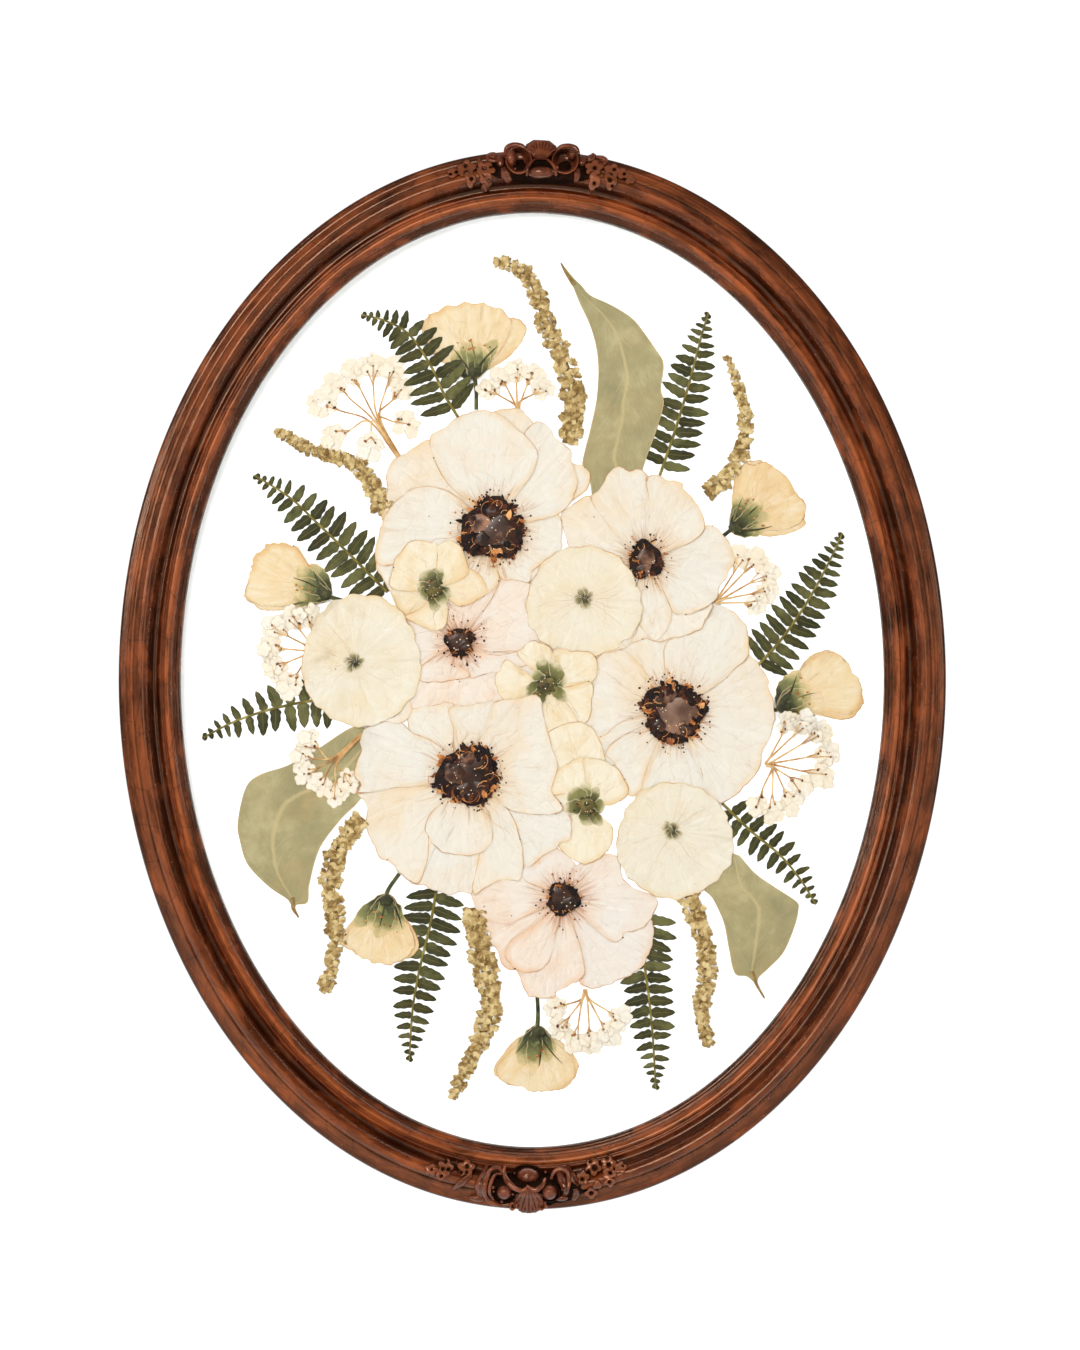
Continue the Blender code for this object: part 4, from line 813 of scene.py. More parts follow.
# Each anemone's petals from the lowest to the highest: rim, warmth
ANEMONES = {
    "anemone_middle_pink": dict(
        heart=(459.4, 642), look=PINK, slot="pink_petal", radius=6.6, squash=1.0, far=1.9,
        lobes=[((-0.1, 0.05), 0.62, 0.35), ((0.35, -0.2), 0.42, 0.2)],
        petals=[
            ([(440, 600), (420, 625), (414, 655), (425, 685), (470, 695), (520, 690), (552, 655),
              (562, 606), (553, 566), (536, 556), (515, 560), (480, 575), (455, 590)], 0.6),
            ([(418, 660), (408, 690), (409, 714), (430, 719), (452, 718), (480, 712), (507, 704),
              (512, 685), (505, 665)], 0.9),
            ([(475, 652), (500, 655), (530, 648), (548, 641), (543, 652), (530, 664), (515, 668),
              (499, 672), (489, 673), (471, 678), (460, 668)], 0.6),
            ([(466, 630), (476, 608), (486, 592), (499, 577), (517, 580), (530, 583), (537, 598),
              (541, 615), (545, 624), (550, 641), (525, 650), (490, 652)], 0.75),
            ([(452, 662), (471, 676), (453, 680), (433, 682), (420, 681), (416, 670), (436, 655)],
             0.3),
            ([(440, 652), (416, 668), (413, 655), (408, 640), (402, 620), (412, 616), (428, 624),
              (446, 632)], 0.3),
            ([(452, 628), (446, 612), (455, 596), (470, 588), (484, 584), (499, 577), (496, 590),
              (488, 604), (476, 620)], 0.5),
        ],
    ),
    "anemone_right": dict(
        heart=(674, 712.5), look=CREAM, slot="cream_petal", radius=13.6, squash=1.0, far=1.3,
        lobes=[((0.10, -0.08), 0.60, 0.75), ((-0.42, 0.36), 0.24, 0.25),
               ((-0.15, 0.52), 0.22, 0.2), ((-0.45, -0.42), 0.22, 0.3),
               ((0.35, -0.55), 0.2, 0.3)],
        petals=[
            ([(650, 690), (625, 672), (600, 668), (592, 665), (600, 648), (617, 645), (640, 634),
              (668, 636), (684, 650), (688, 680)], 0.45),
            ([(640, 716), (610, 735), (585, 742), (583, 720), (588, 690), (592, 668), (604, 652),
              (622, 650), (640, 664), (655, 690)], 0.45),
            ([(655, 735), (640, 750), (616, 766), (592, 758), (585, 745), (586, 736), (601, 737),
              (620, 723), (642, 716)], 0.4),
            ([(668, 752), (647, 765), (643, 789), (630, 797), (621, 778), (614, 764), (606, 752),
              (625, 735), (650, 728)], 0.35),
            ([(700, 748), (712, 775), (712, 796), (690, 806), (664, 804), (643, 792), (647, 770),
              (655, 748), (662, 735)], 0.15),
            ([(690, 698), (712, 677), (735, 656), (748, 653), (758, 664), (768, 677), (769, 688),
              (773, 699), (775, 713), (773, 728), (771, 738), (763, 753), (761, 765), (758, 773),
              (748, 783), (735, 796), (721, 803), (709, 794), (700, 765), (690, 742)], 0.25),
            ([(668, 690), (664, 655), (670, 639), (692, 631), (703, 625), (709, 616), (714, 604),
              (724, 606), (734, 612), (744, 621), (748, 632), (748, 656), (736, 668), (722, 682),
              (700, 694), (690, 702)], 0.3),
        ],
    ),
    "anemone_bottom_pink": dict(
        heart=(563.3, 899.5), look=PINK, slot="pink_petal", radius=7.4, squash=1.0, far=1.8,
        lobes=[((-0.12, 0.1), 0.60, 0.4), ((0.32, -0.25), 0.44, 0.2)],
        petals=[
            ([(590, 915), (622, 905), (650, 918), (654, 928), (653, 941), (649, 955), (640, 969),
              (620, 980), (599, 989), (584, 987), (579, 982), (583, 976), (583, 965), (580, 948),
              (575, 930)], 0.05),
            ([(548, 925), (528, 945), (515, 962), (519, 978), (525, 991), (530, 997), (541, 998),
              (554, 999), (556, 993), (568, 987), (579, 981), (585, 973), (583, 960), (580, 945),
              (572, 925)], 0.75),
            ([(540, 908), (508, 918), (484, 919), (485, 929), (490, 933), (489, 941), (497, 950),
              (502, 965), (512, 971), (524, 968), (540, 945), (552, 925)], 1.0),
            ([(548, 915), (530, 930), (512, 940), (505, 955), (516, 970), (534, 973), (547, 965),
              (553, 951), (556, 930), (558, 915)], 0.7),
            ([(545, 880), (525, 872), (512, 875), (492, 880), (472, 889), (473, 903), (484, 918),
              (502, 925), (515, 922), (535, 912), (548, 906)], 0.65),
            ([(550, 890), (530, 884), (517, 872), (523, 866), (530, 866), (541, 858), (555, 848),
              (567, 855), (576, 866), (574, 880)], 0.2),
            ([(568, 882), (575, 866), (593, 862), (603, 856), (612, 855), (619, 859), (622, 876),
              (632, 887), (657, 898), (656, 910), (649, 922), (641, 929), (632, 932), (624, 933),
              (622, 940), (616, 943), (606, 939), (592, 923), (576, 908)], 0.4),
        ],
    ),
    "anemone_top_right": dict(
        heart=(646, 560), look=CREAM, slot="cream_petal", radius=7.6, squash=1.15, far=1.45,
        lobes=[((0.0, 0.15), 0.50, 0.4), ((-0.1, -0.5), 0.40, 0.25)],
        petals=[
            ([(660, 575), (688, 592), (712, 602), (709, 614), (706, 620), (700, 629), (684, 636),
              (672, 638), (657, 642), (645, 638), (632, 643), (622, 634), (628, 605), (638, 580)],
             0.8),
            ([(636, 578), (620, 588), (600, 578), (576, 566), (570, 550), (565, 535), (561, 520),
              (562, 511), (575, 503), (590, 495), (610, 510), (632, 540)], 0.75),
            ([(640, 575), (636, 595), (638, 606), (639, 623), (656, 640), (671, 622), (671, 604),
              (659, 587), (652, 575)], 0.5),
            ([(632, 552), (612, 530), (594, 505), (590, 496), (598, 491), (603, 483), (607, 475),
              (615, 467), (622, 467), (628, 471), (638, 468), (645, 472), (649, 480), (652, 500),
              (652, 540)], 0.5),
            ([(660, 553), (680, 540), (704, 526), (715, 526), (723, 534), (729, 542), (733, 552),
              (735, 563), (729, 571), (727, 579), (719, 587), (718, 597), (711, 604), (696, 612),
              (676, 614), (668, 600), (656, 572)], 0.1),
            ([(646, 540), (650, 505), (646, 480), (652, 475), (662, 476), (669, 480), (683, 482),
              (684, 489), (694, 499), (699, 507), (705, 524), (703, 532), (696, 539), (685, 545),
              (660, 554)], 0.55),
        ],
    ),
    "anemone_top_left": dict(
        heart=(492, 529), look=CREAM, slot="cream_petal", radius=14.2, squash=0.95, far=1.25,
        lobes=[((0.22, -0.08), 0.48, 0.4), ((-0.38, 0.18), 0.30, 0.95),
               ((-0.30, -0.30), 0.24, 0.3), ((0.45, -0.48), 0.22, 0.3),
               ((0.02, 0.55), 0.2, 0.25)],
        petals=[
            ([(560, 508), (577, 497), (588, 487), (590, 474), (584, 467), (575, 463), (560, 458),
              (535, 490)], 0.2),
            ([(480, 480), (484, 432), (494, 412), (507, 408), (519, 409), (531, 418), (534, 433),
              (526, 455), (505, 500)], 0.75),
            ([(460, 530), (420, 525), (383, 521), (386, 506), (387, 488), (386, 475), (391, 461),
              (401, 455), (415, 446), (430, 440), (450, 455), (475, 500)], 0.85),
            ([(490, 555), (494, 566), (499, 575), (497, 585), (486, 595), (463, 606), (446, 600),
              (452, 575), (474, 548)], 0.35),
            ([(475, 550), (450, 596), (430, 618), (404, 618), (395, 605), (388, 588), (380, 574),
              (375, 560), (378, 549), (392, 540), (411, 538), (430, 530), (460, 535)], 0.8),
            ([(470, 545), (440, 568), (411, 560), (384, 566), (375, 557), (377, 541), (385, 516),
              (398, 499), (413, 488), (430, 486), (450, 492), (470, 508)], 0.2),
            ([(498, 552), (500, 577), (517, 580), (529, 583), (533, 571), (545, 561), (560, 552),
              (562, 538), (562, 521), (553, 510), (524, 522)], 0.25),
            ([(520, 523), (548, 518), (562, 511), (570, 503), (576, 489), (577, 474), (572, 462),
              (571, 451), (564, 444), (555, 438), (551, 430), (543, 421), (532, 423), (522, 440),
              (508, 500)], 0.15),
            ([(478, 505), (454, 490), (438, 468), (429, 439), (437, 431), (450, 423), (463, 414),
              (483, 410), (497, 413), (509, 421), (519, 430), (530, 440), (537, 451), (537, 462),
              (531, 476), (522, 486), (505, 500)], 0.2),
        ],
    ),
    "anemone_left": dict(
        heart=(467.5, 776), look=CREAM, slot="cream_petal", radius=13.8, squash=0.94, far=1.2,
        lobes=[((0.12, 0.05), 0.52, 0.35), ((-0.42, 0.10), 0.32, 0.3),
               ((-0.10, -0.50), 0.30, 0.25), ((0.40, -0.38), 0.26, 0.3),
               ((0.0, 0.55), 0.24, 0.2)],
        petals=[
            ([(500, 800), (515, 830), (519, 862), (524, 866), (530, 867), (542, 857), (554, 850),
              (560, 843), (570, 839), (571, 817), (563, 811), (540, 800)], 0.0),
            ([(448, 770), (432, 744), (412, 736), (408, 712), (430, 706), (453, 704), (460, 738)],
             0.5),
            ([(450, 800), (426, 835), (408, 878), (417, 885), (424, 885), (429, 889), (442, 893),
              (452, 896), (463, 892), (473, 894), (488, 886), (500, 862), (498, 820), (486, 800)],
             0.35),
            ([(440, 785), (405, 788), (380, 786), (356, 793), (364, 801), (368, 810), (365, 822),
              (368, 834), (375, 849), (380, 859), (389, 862), (396, 870), (407, 880), (418, 884),
              (427, 860), (428, 842), (430, 825), (446, 800)], 0.85),
            ([(450, 755), (430, 740), (412, 733), (400, 722), (383, 722), (366, 728), (360, 738),
              (361, 748), (357, 760), (354, 776), (361, 784), (357, 794), (391, 788), (404, 788),
              (440, 784)], 0.05),
            ([(452, 752), (453, 730), (449, 709), (470, 705), (496, 702), (494, 720), (487, 735),
              (474, 750)], 0.25),
            ([(478, 805), (480, 850), (472, 894), (491, 884), (506, 881), (521, 879), (523, 854),
              (519, 836), (514, 820), (506, 807), (494, 796)], 0.6),
            ([(476, 752), (487, 730), (492, 718), (493, 703), (505, 699), (520, 698), (535, 694),
              (542, 700), (542, 711), (547, 730), (551, 743), (557, 766), (554, 779), (551, 789),
              (554, 796), (562, 805), (562, 811), (549, 815), (523, 814), (506, 808), (492, 792)],
             0.55),
            ([(452, 795), (432, 812), (425, 828), (429, 838), (439, 850), (455, 855), (476, 855),
              (488, 847), (493, 838), (491, 825), (484, 811), (474, 800)], 0.45),
        ],
    ),
}


def build_anemone(name):
    flower = ANEMONES[name]
    shape = Shape()
    look = flower["look"]
    for number, (rim, warm) in enumerate(flower["petals"]):
        seed = 100 * list(ANEMONES).index(name) + number * 7 + 3
        top = petal(shape, flower["heart"], rim, look, warm, seed, stain=0.9,
                    stain_to=flower["radius"] * (2.1 if flower["radius"] > 9 else 3.0))
        rim_lines(shape, top, seed + 1, 3, VEIN)
    seed = 31 + list(ANEMONES).index(name)
    centre = at(flower["heart"])
    radius = flower["radius"]
    squash = flower["squash"]
    big = radius > 9
    veins(shape, flower["heart"], radius, radius * (2.3 if big else 3.2), seed + 200,
          16 if big else 12, VEIN)
    lobes = flower["lobes"]
    scales, clumps, threads, curls = (120, 50, 46, 30) if big else (56, 26, 26, 10)
    collar(shape, flower["heart"], radius * 1.0, seed, squash, scales, clumps // 2, threads, 0,
           flower["far"])
    dome(shape, centre, (radius * 0.92, radius * 0.92 * squash), 0.45, ANTHER, seed, 0.35,
         tone=0.35)
    for number, (offset, size, tone) in enumerate(lobes):
        grey = name == "anemone_right" and number == 0
        dome(shape, centre + np.array(offset) * radius, (radius * size, radius * size * 0.95),
             0.75, HEART_GREY if grey else HEART, seed + 3 * number, 0.12, tone=tone)
    collar(shape, flower["heart"], radius * 0.98, seed + 50, squash, scales // 3, clumps // 2,
           0, curls)
    pollen(shape, flower["heart"], radius * 0.95, seed + 90, 34 if big else 10)
    shape.make(name + "_flower", flower["slot"], name)


# Round petals and small flowers

ROUND_PETALS = {
    "round_petal_left": dict(
        centre=(361, 661), radii=(59.5, 66.5), scar=(354, 663), warm=0.55, seed=701,
        tilt=0.1, lobes=17,
        extra=[(383, 708), (392, 702), (408, 700), (411, 712), (404, 722), (392, 724), (384, 716)],
    ),
    "round_petal_top": dict(
        centre=(584, 602), radii=(58, 56), scar=(584, 599), warm=0.8, seed=722,
        tilt=0.4, lobes=15,
        extra=[(600, 652), (618, 640), (632, 615), (637, 600), (638, 625), (628, 645), (612, 652)],
    ),
    "round_petal_bottom": dict(
        centre=(675, 841), radii=(58.5, 58), scar=(672, 831), warm=0.45, seed=743,
        tilt=0.8, lobes=19, extra=None,
    ),
}


def build_round_petal(name):
    data = ROUND_PETALS[name]
    shape = Shape()
    draw = np.random.default_rng(data["seed"])
    if data["extra"]:
        middle = np.mean(data["extra"], axis=0)
        petal(shape, middle, data["extra"], CREAM, 0.9, data["seed"] + 1, 40, 8, True, cup=0.08)
    turns = np.linspace(0, 2 * math.pi, 72, endpoint=False)
    reach = 1 + 0.016 * np.sin(3 * turns + data["tilt"]) + 0.012 * np.sin(5 * turns)
    lobes = data["lobes"]
    reach += 0.030 * np.abs(np.sin(turns * lobes / 2 + 0.5 * np.sin(2 * turns + data["tilt"])))
    reach += draw.uniform(-0.006, 0.006, len(turns)) - 0.02
    rim = [(data["centre"][0] + data["radii"][0] * r * math.cos(turn),
            data["centre"][1] + data["radii"][1] * r * math.sin(turn))
           for r, turn in zip(reach, turns)]
    top = petal(shape, data["scar"], rim, DISC, data["warm"], data["seed"], 120, 14, True,
                cup=0.22, stain=0.6, stain_to=8.5)
    rim_lines(shape, top, data["seed"] + 3, 6, VEIN)
    centre = at(data["scar"])
    veins(shape, data["scar"], 4.0, 22.0, data["seed"] + 60, 9, VEIN, 0.06)
    for number in range(9):
        turn = number * 2 * math.pi / 9 + draw.uniform(-0.3, 0.3)
        way = toward(turn)
        calyx_lobe(shape, centre, centre + way * draw.uniform(3.6, 5.6), draw.uniform(1.2, 1.9),
                   SCAR_SPOT, data["seed"] + number, draw.uniform(0.0, 0.6))
    for number in range(4):
        side = np.array((0.75 * (number - 1.5), draw.uniform(-0.3, 0.3)))
        sepal(shape, centre + side + (0, -1.6), centre + side + (0.2, 1.6), 0.22, DARK_GREEN,
              data["seed"] + 20 + number, 0.1)
    shape.make(name + "_sheet", "cream_petal", name)


SMALL_FLOWERS = {
    "small_flower_left": dict(
        heart=(434, 588), seed=801,
        petals=[
            ([(430, 578), (418, 572), (400, 586), (391, 590), (396, 604), (402, 614), (416, 612),
              (426, 603)], 0.8),
            ([(438, 598), (426, 604), (414, 612), (404, 616), (412, 622), (421, 627), (434, 631),
              (446, 624), (448, 606)], 0.6),
            ([(430, 582), (436, 562), (438, 546), (425, 541), (410, 542), (398, 555), (391, 572),
              (391, 588), (412, 592)], 0.9),
            ([(444, 594), (455, 604), (463, 606), (476, 600), (485, 594), (486, 584), (479, 575),
              (468, 568), (455, 572), (444, 582)], 0.4),
            ([(435, 580), (437, 560), (439, 543), (454, 541), (463, 552), (467, 566), (468, 574),
              (456, 582), (443, 586)], 0.95),
        ],
    ),
    "small_flower_middle": dict(
        heart=(547, 685), seed=821,
        petals=[
            ([(545, 675), (530, 668), (518, 655), (520, 650), (531, 641), (541, 643), (552, 650),
              (556, 665)], 0.8),
            ([(552, 678), (556, 660), (554, 649), (570, 650), (593, 654), (598, 670), (590, 684),
              (570, 690)], 0.5),
            ([(540, 680), (520, 670), (507, 660), (498, 672), (495, 684), (502, 699), (520, 706),
              (534, 700)], 0.9),
            ([(554, 690), (572, 686), (592, 682), (592, 700), (590, 716), (578, 730), (566, 722),
              (556, 704)], 0.75),
            ([(543, 694), (536, 702), (533, 714), (545, 731), (557, 735), (570, 734), (578, 730),
              (576, 716), (566, 703), (554, 694)], 0.95),
        ],
    ),
    "small_flower_bottom": dict(
        heart=(587, 806), seed=841,
        petals=[
            ([(582, 818), (564, 822), (545, 795), (540, 760), (546, 734), (580, 722), (600, 740),
              (606, 775), (596, 806)], 0.6),
            ([(582, 800), (568, 794), (553, 795), (551, 785), (558, 770), (570, 762), (583, 757),
              (590, 775)], 0.7),
            ([(590, 800), (586, 775), (584, 758), (602, 760), (616, 767), (625, 780), (628, 795),
              (612, 806)], 0.55),
            ([(580, 812), (562, 822), (558, 845), (570, 858), (584, 865), (598, 860), (606, 853),
              (612, 842), (613, 828), (600, 815)], 0.95),
        ],
    ),
}


def calyx_lobe(shape, root, tip, half, look, seed, tone, blunt=0.75):
    """A flat rounded lobe of green flesh from its root to its tip, both in mm."""
    root, tip = np.asarray(root, float), np.asarray(tip, float)
    way = tip - root
    length = np.linalg.norm(way)
    side = np.array((-way[1], way[0])) / length
    rows = np.linspace(0, 1, 12)
    width = half * np.interp(rows, (0, 0.15, 0.45, blunt, 0.93, 1), (0.35, 0.75, 1, 0.9, 0.5, 0.1))
    draw = np.random.default_rng(seed)
    bend = np.sin(rows * math.pi) * length * draw.uniform(-0.08, 0.08)
    line = root + rows[:, None] * way + bend[:, None] * side
    lanes = np.linspace(-1, 1, 7)
    wavy = 1 + 0.10 * ripple(rows * length, rows * 0, seed + 5, 3.0)
    grid = line[:, None] + side * ((width * wavy)[:, None] * lanes)[..., None]
    x, z = np.moveaxis(grid, -1, 0)
    height = ground.under(x, z, 1.0) + 0.03 + 0.05 * (1 - lanes ** 2)
    top = np.stack([x, np.minimum(height, CEILING - 0.2), z], -1)
    edge = np.minimum(width[:, None] * (1 - np.abs(lanes)), (1 - rows[:, None]) * length)
    first = per_point(x, edge, rows[:, None], lanes[None])
    shape.add(slab(top, 0.08), look, first, (tone, 0, 0))
    ground.press(top)


def build_small_flower(name):
    """Petals around a green heart of blurred rounded lobes."""
    data = SMALL_FLOWERS[name]
    shape = Shape()
    draw = np.random.default_rng(data["seed"])
    for number, (rim, warm) in enumerate(data["petals"]):
        top = petal(shape, data["heart"], rim, BUTTER, warm, data["seed"] + number * 3, 40, 10,
                    cup=0.1, stain=0.55, stain_to=13.0)
        rim_lines(shape, top, data["seed"] + number, 2, VEIN)
    centre = at(data["heart"])
    veins(shape, data["heart"], 8.0, 20.0, data["seed"] + 60, 7, VEIN)
    for number in range(7):
        turn = number * 2 * math.pi / 7 + draw.uniform(-0.42, 0.42)
        way = toward(turn)
        calyx_lobe(shape, centre + way * 0.4, centre + way * draw.uniform(6.5, 12.5),
                   draw.uniform(2.4, 4.8), GREEN_HEART, data["seed"] + number,
                   draw.uniform(0.0, 0.9))
    for number in range(9):
        turn = number * 2 * math.pi / 9
        place = centre + 3.4 * toward(turn)
        dome(shape, place, (1.1, 0.8), 0.12, DARK_GREEN, data["seed"] + 30 + number, 0.3, 12, 5,
             tone=draw.uniform(0, 0.5))
    dome(shape, centre, (3.3, 3.2), 0.45, OLIVE, data["seed"] + 20, 0.1, 24, 7, tone=0.45)
    dome(shape, centre + draw.uniform(-1.2, 1.2, 2), (1.1, 1.0), 0.2, DARK_GREEN,
         data["seed"] + 21, 0.2, 14, 5, tone=0.1)
    for _ in range(12):
        turn = draw.uniform(0, 6.28)
        place = centre + draw.uniform(2.5, 6.5) * toward(turn)
        size = draw.uniform(0.2, 0.5)
        shape.add(ball((place[0], rest_at(place), place[1]), (size, size * 0.5, size * 0.8), 7, 4),
                  FILAMENT if draw.uniform() < 0.6 else ANTHER, second=(draw.uniform(0, 0.7), 0, 0))
    pollen(shape, data["heart"], 3.2, data["seed"] + 22, 6)
    shape.make(name + "_petals", "cream_petal", name)


# Flowers pressed from the side

SIDE_FLOWERS = {
    "side_flower_top": dict(
        base=(474, 376), seed=901, stem=[(474, 372), (476, 390), (476, 409)],
        petals=[
            ([(470, 372), (459, 371), (440, 360), (428, 346), (421, 326), (431, 313), (448, 308),
              (458, 330), (468, 352)], 0.6),
            ([(478, 372), (486, 370), (499, 363), (511, 354), (523, 339), (527, 328), (518, 319),
              (500, 320), (486, 350)], 0.7),
            ([(468, 374), (456, 368), (440, 360), (430, 346), (424, 328), (432, 314), (448, 306),
              (475, 302), (495, 307), (510, 318), (508, 335), (500, 350), (488, 364), (480, 372)],
             0.4),
        ],
    ),
    "side_flower_upper_right": dict(
        base=(733, 529), seed=911, stem=[(737, 525), (728, 532), (722, 537)],
        petals=[
            ([(735, 522), (732, 505), (733, 493), (735, 478), (741, 466), (752, 461), (764, 463),
              (760, 490), (748, 515)], 0.7),
            ([(740, 528), (750, 532), (766, 536), (782, 535), (804, 526), (806, 507), (798, 494),
              (776, 500), (752, 515)], 0.9),
            ([(736, 518), (734, 493), (742, 468), (754, 463), (768, 463), (786, 474), (798, 494),
              (806, 507), (802, 522), (782, 530), (752, 528)], 0.8),
        ],
    ),
    "side_flower_right": dict(
        base=(780, 708), seed=921, stem=[(786, 707), (776, 710), (769, 711)],
        petals=[
            ([(783, 700), (785, 690), (797, 674), (811, 656), (828, 651), (845, 659), (840, 680),
              (810, 695)], 0.6),
            ([(784, 712), (797, 718), (816, 713), (836, 719), (852, 718), (863, 704), (861, 687),
              (835, 690), (805, 702)], 0.85),
            ([(785, 700), (797, 676), (813, 658), (828, 652), (845, 659), (861, 687), (861, 704),
              (850, 714), (826, 712), (800, 710)], 0.5),
        ],
    ),
    "side_flower_left": dict(
        base=(328, 596), seed=931, stem=[(320, 594), (334, 598), (352, 603)],
        petals=[
            ([(322, 598), (306, 607), (285, 610), (256, 608), (243, 592), (251, 578), (270, 585),
              (300, 594)], 0.7),
            ([(323, 588), (313, 572), (303, 556), (296, 546), (280, 543), (265, 545), (258, 560),
              (280, 580), (305, 590)], 0.8),
            ([(323, 590), (312, 573), (302, 557), (294, 547), (280, 544), (266, 546), (251, 563),
              (250, 578), (245, 592), (256, 604), (284, 606), (308, 602)], 0.55),
        ],
    ),
    "side_flower_lower_left": dict(
        base=(387, 897), seed=941, stem=[(384, 903), (388, 890), (399, 874)],
        petals=[
            ([(384, 902), (372, 908), (360, 911), (349, 925), (344, 932), (344, 945), (358, 955),
              (372, 940), (382, 915)], 0.6),
            ([(390, 902), (400, 914), (412, 928), (418, 948), (406, 960), (392, 960), (388, 940)],
             0.8),
            ([(383, 906), (362, 914), (352, 926), (346, 940), (356, 954), (372, 963), (389, 965),
              (404, 959), (414, 948), (410, 928), (398, 914), (391, 906)], 0.5),
        ],
    ),
    "side_flower_bottom": dict(
        base=(538, 1029), seed=951, stem=[(537, 1032), (538, 1014), (537, 994)],
        petals=[
            ([(534, 1032), (521, 1037), (511, 1044), (500, 1059), (493, 1071), (502, 1081),
              (519, 1086), (530, 1060)], 0.7),
            ([(541, 1030), (553, 1037), (565, 1046), (575, 1057), (579, 1071), (572, 1083),
              (556, 1088), (544, 1060)], 0.7),
            ([(533, 1036), (516, 1046), (503, 1060), (496, 1073), (505, 1083), (520, 1089),
              (538, 1093), (554, 1090), (570, 1083), (576, 1070), (570, 1056), (556, 1044),
              (543, 1034)], 0.45),
        ],
    ),
}


def sepal(shape, root, tip, half, look, seed, lift=0.35):
    """A narrow pointed blade between two places in mm."""
    root, tip = np.asarray(root, float), np.asarray(tip, float)
    way = tip - root
    length = np.linalg.norm(way)
    side = np.array((-way[1], way[0])) / length
    rows = np.linspace(0, 1, 9)
    bend = np.sin(rows * math.pi) * length * 0.06 * ((seed % 3) - 1)
    width = half * np.sin(math.pi * np.clip(rows * 0.82 + 0.14, 0, 1)) ** 0.8
    line = root + rows[:, None] * way + bend[:, None] * side
    lanes = np.linspace(-1, 1, 5)
    grid = line[:, None] + side * (width[:, None] * lanes)[..., None]
    x, z = np.moveaxis(grid, -1, 0)
    height = ground.under(x, z, 1.0) + 0.18 + lift * (1 - lanes ** 2) * 0.5
    top = np.stack([x, np.minimum(height, CEILING - 0.2), z], -1)
    edge = width[:, None] * (1 - np.abs(lanes))
    first = per_point(x, edge, rows[:, None], lanes[None])
    draw = np.random.default_rng(seed)
    shape.add(slab(top, 0.12), look, first, (draw.uniform(0, 1), 0, seed % 7))
    ground.press(top)


def strand(shape, line, radii, look, tone=0.5, sides=8, flatten=0.7, lift=0.0, count=14):
    """A stalk along places of the picture, lying on what is there."""
    line = smooth(places(line), count)
    radii = np.interp(np.linspace(0, 1, count), np.linspace(0, 1, len(radii)), radii)
    height = ground.under(line[:, 0], line[:, 1], 0.8) + radii * flatten + lift
    shape.add(tube(np.stack([line[:, 0], height, line[:, 1]], -1), radii, sides, flatten), look,
              second=(tone, 0, 0))
    top = np.stack([line[:, 0], height + radii * flatten, line[:, 1]], -1)
    ground.press(np.stack([top, top], 1))


def build_side_flower(name):
    data = SIDE_FLOWERS[name]
    shape = Shape()
    draw = np.random.default_rng(data["seed"])
    strand(shape, data["stem"], (0.95, 0.8, 0.8), DARK_GREEN, 0.3)
    for number, (rim, warm) in enumerate(data["petals"]):
        top = petal(shape, data["base"], rim, BUD, warm, data["seed"] + number, 60, 12, cup=0.14,
                    stain=0.8, stain_to=17.0, wave=0.62)
        rim_lines(shape, top, data["seed"] + number, 2, VEIN)
    base = at(data["base"])
    rims = places([point for rim, _ in data["petals"] for point in rim])
    away = rims - base
    reach = np.linalg.norm(away, axis=1)
    middle = away[reach > np.percentile(reach, 40)].mean(axis=0)
    heading = math.atan2(middle[1], middle[0])
    veins(shape, data["base"], 7.0, 26.0, data["seed"] + 60, 16, VEIN, 0.07,
          (heading - 0.55, heading + 0.55))
    for number in (0, 4, 1, 3, 2):
        turn = heading + (number - 2) * 0.32 + draw.uniform(-0.08, 0.08)
        way = toward(turn)
        calyx_lobe(shape, base - way * 0.6, base + way * draw.uniform(13.0, 19.0),
                   draw.uniform(3.2, 4.4), CALYX, data["seed"] + number, draw.uniform(0.0, 0.6))
    for number in range(3):
        turn = heading + (number - 1) * 0.62 + draw.uniform(-0.1, 0.1)
        way = toward(turn)
        sepal(shape, base - way * 0.8, base + way * draw.uniform(12.0, 19.0),
              draw.uniform(0.30, 0.5), DARK_GREEN, data["seed"] + 10 + number)
    for number in range(9):
        turn = heading + draw.uniform(-0.6, 0.6)
        place = base + draw.uniform(8, 16) * toward(turn)
        dome(shape, place, (draw.uniform(0.3, 0.8), draw.uniform(0.25, 0.5)), 0.15, FILAMENT,
             data["seed"] + 40 + number, 0.4, 10, 4, tone=draw.uniform(0, 0.7))
    dome(shape, base + 1.6 * toward(heading), (2.8, 2.4), 0.55,
         DARK_GREEN, data["seed"] + 30, 0.2, 16, 6, tone=0.12)
    shape.make(name + "_bloom", "bud_petal", name)


# Ferns and leaves

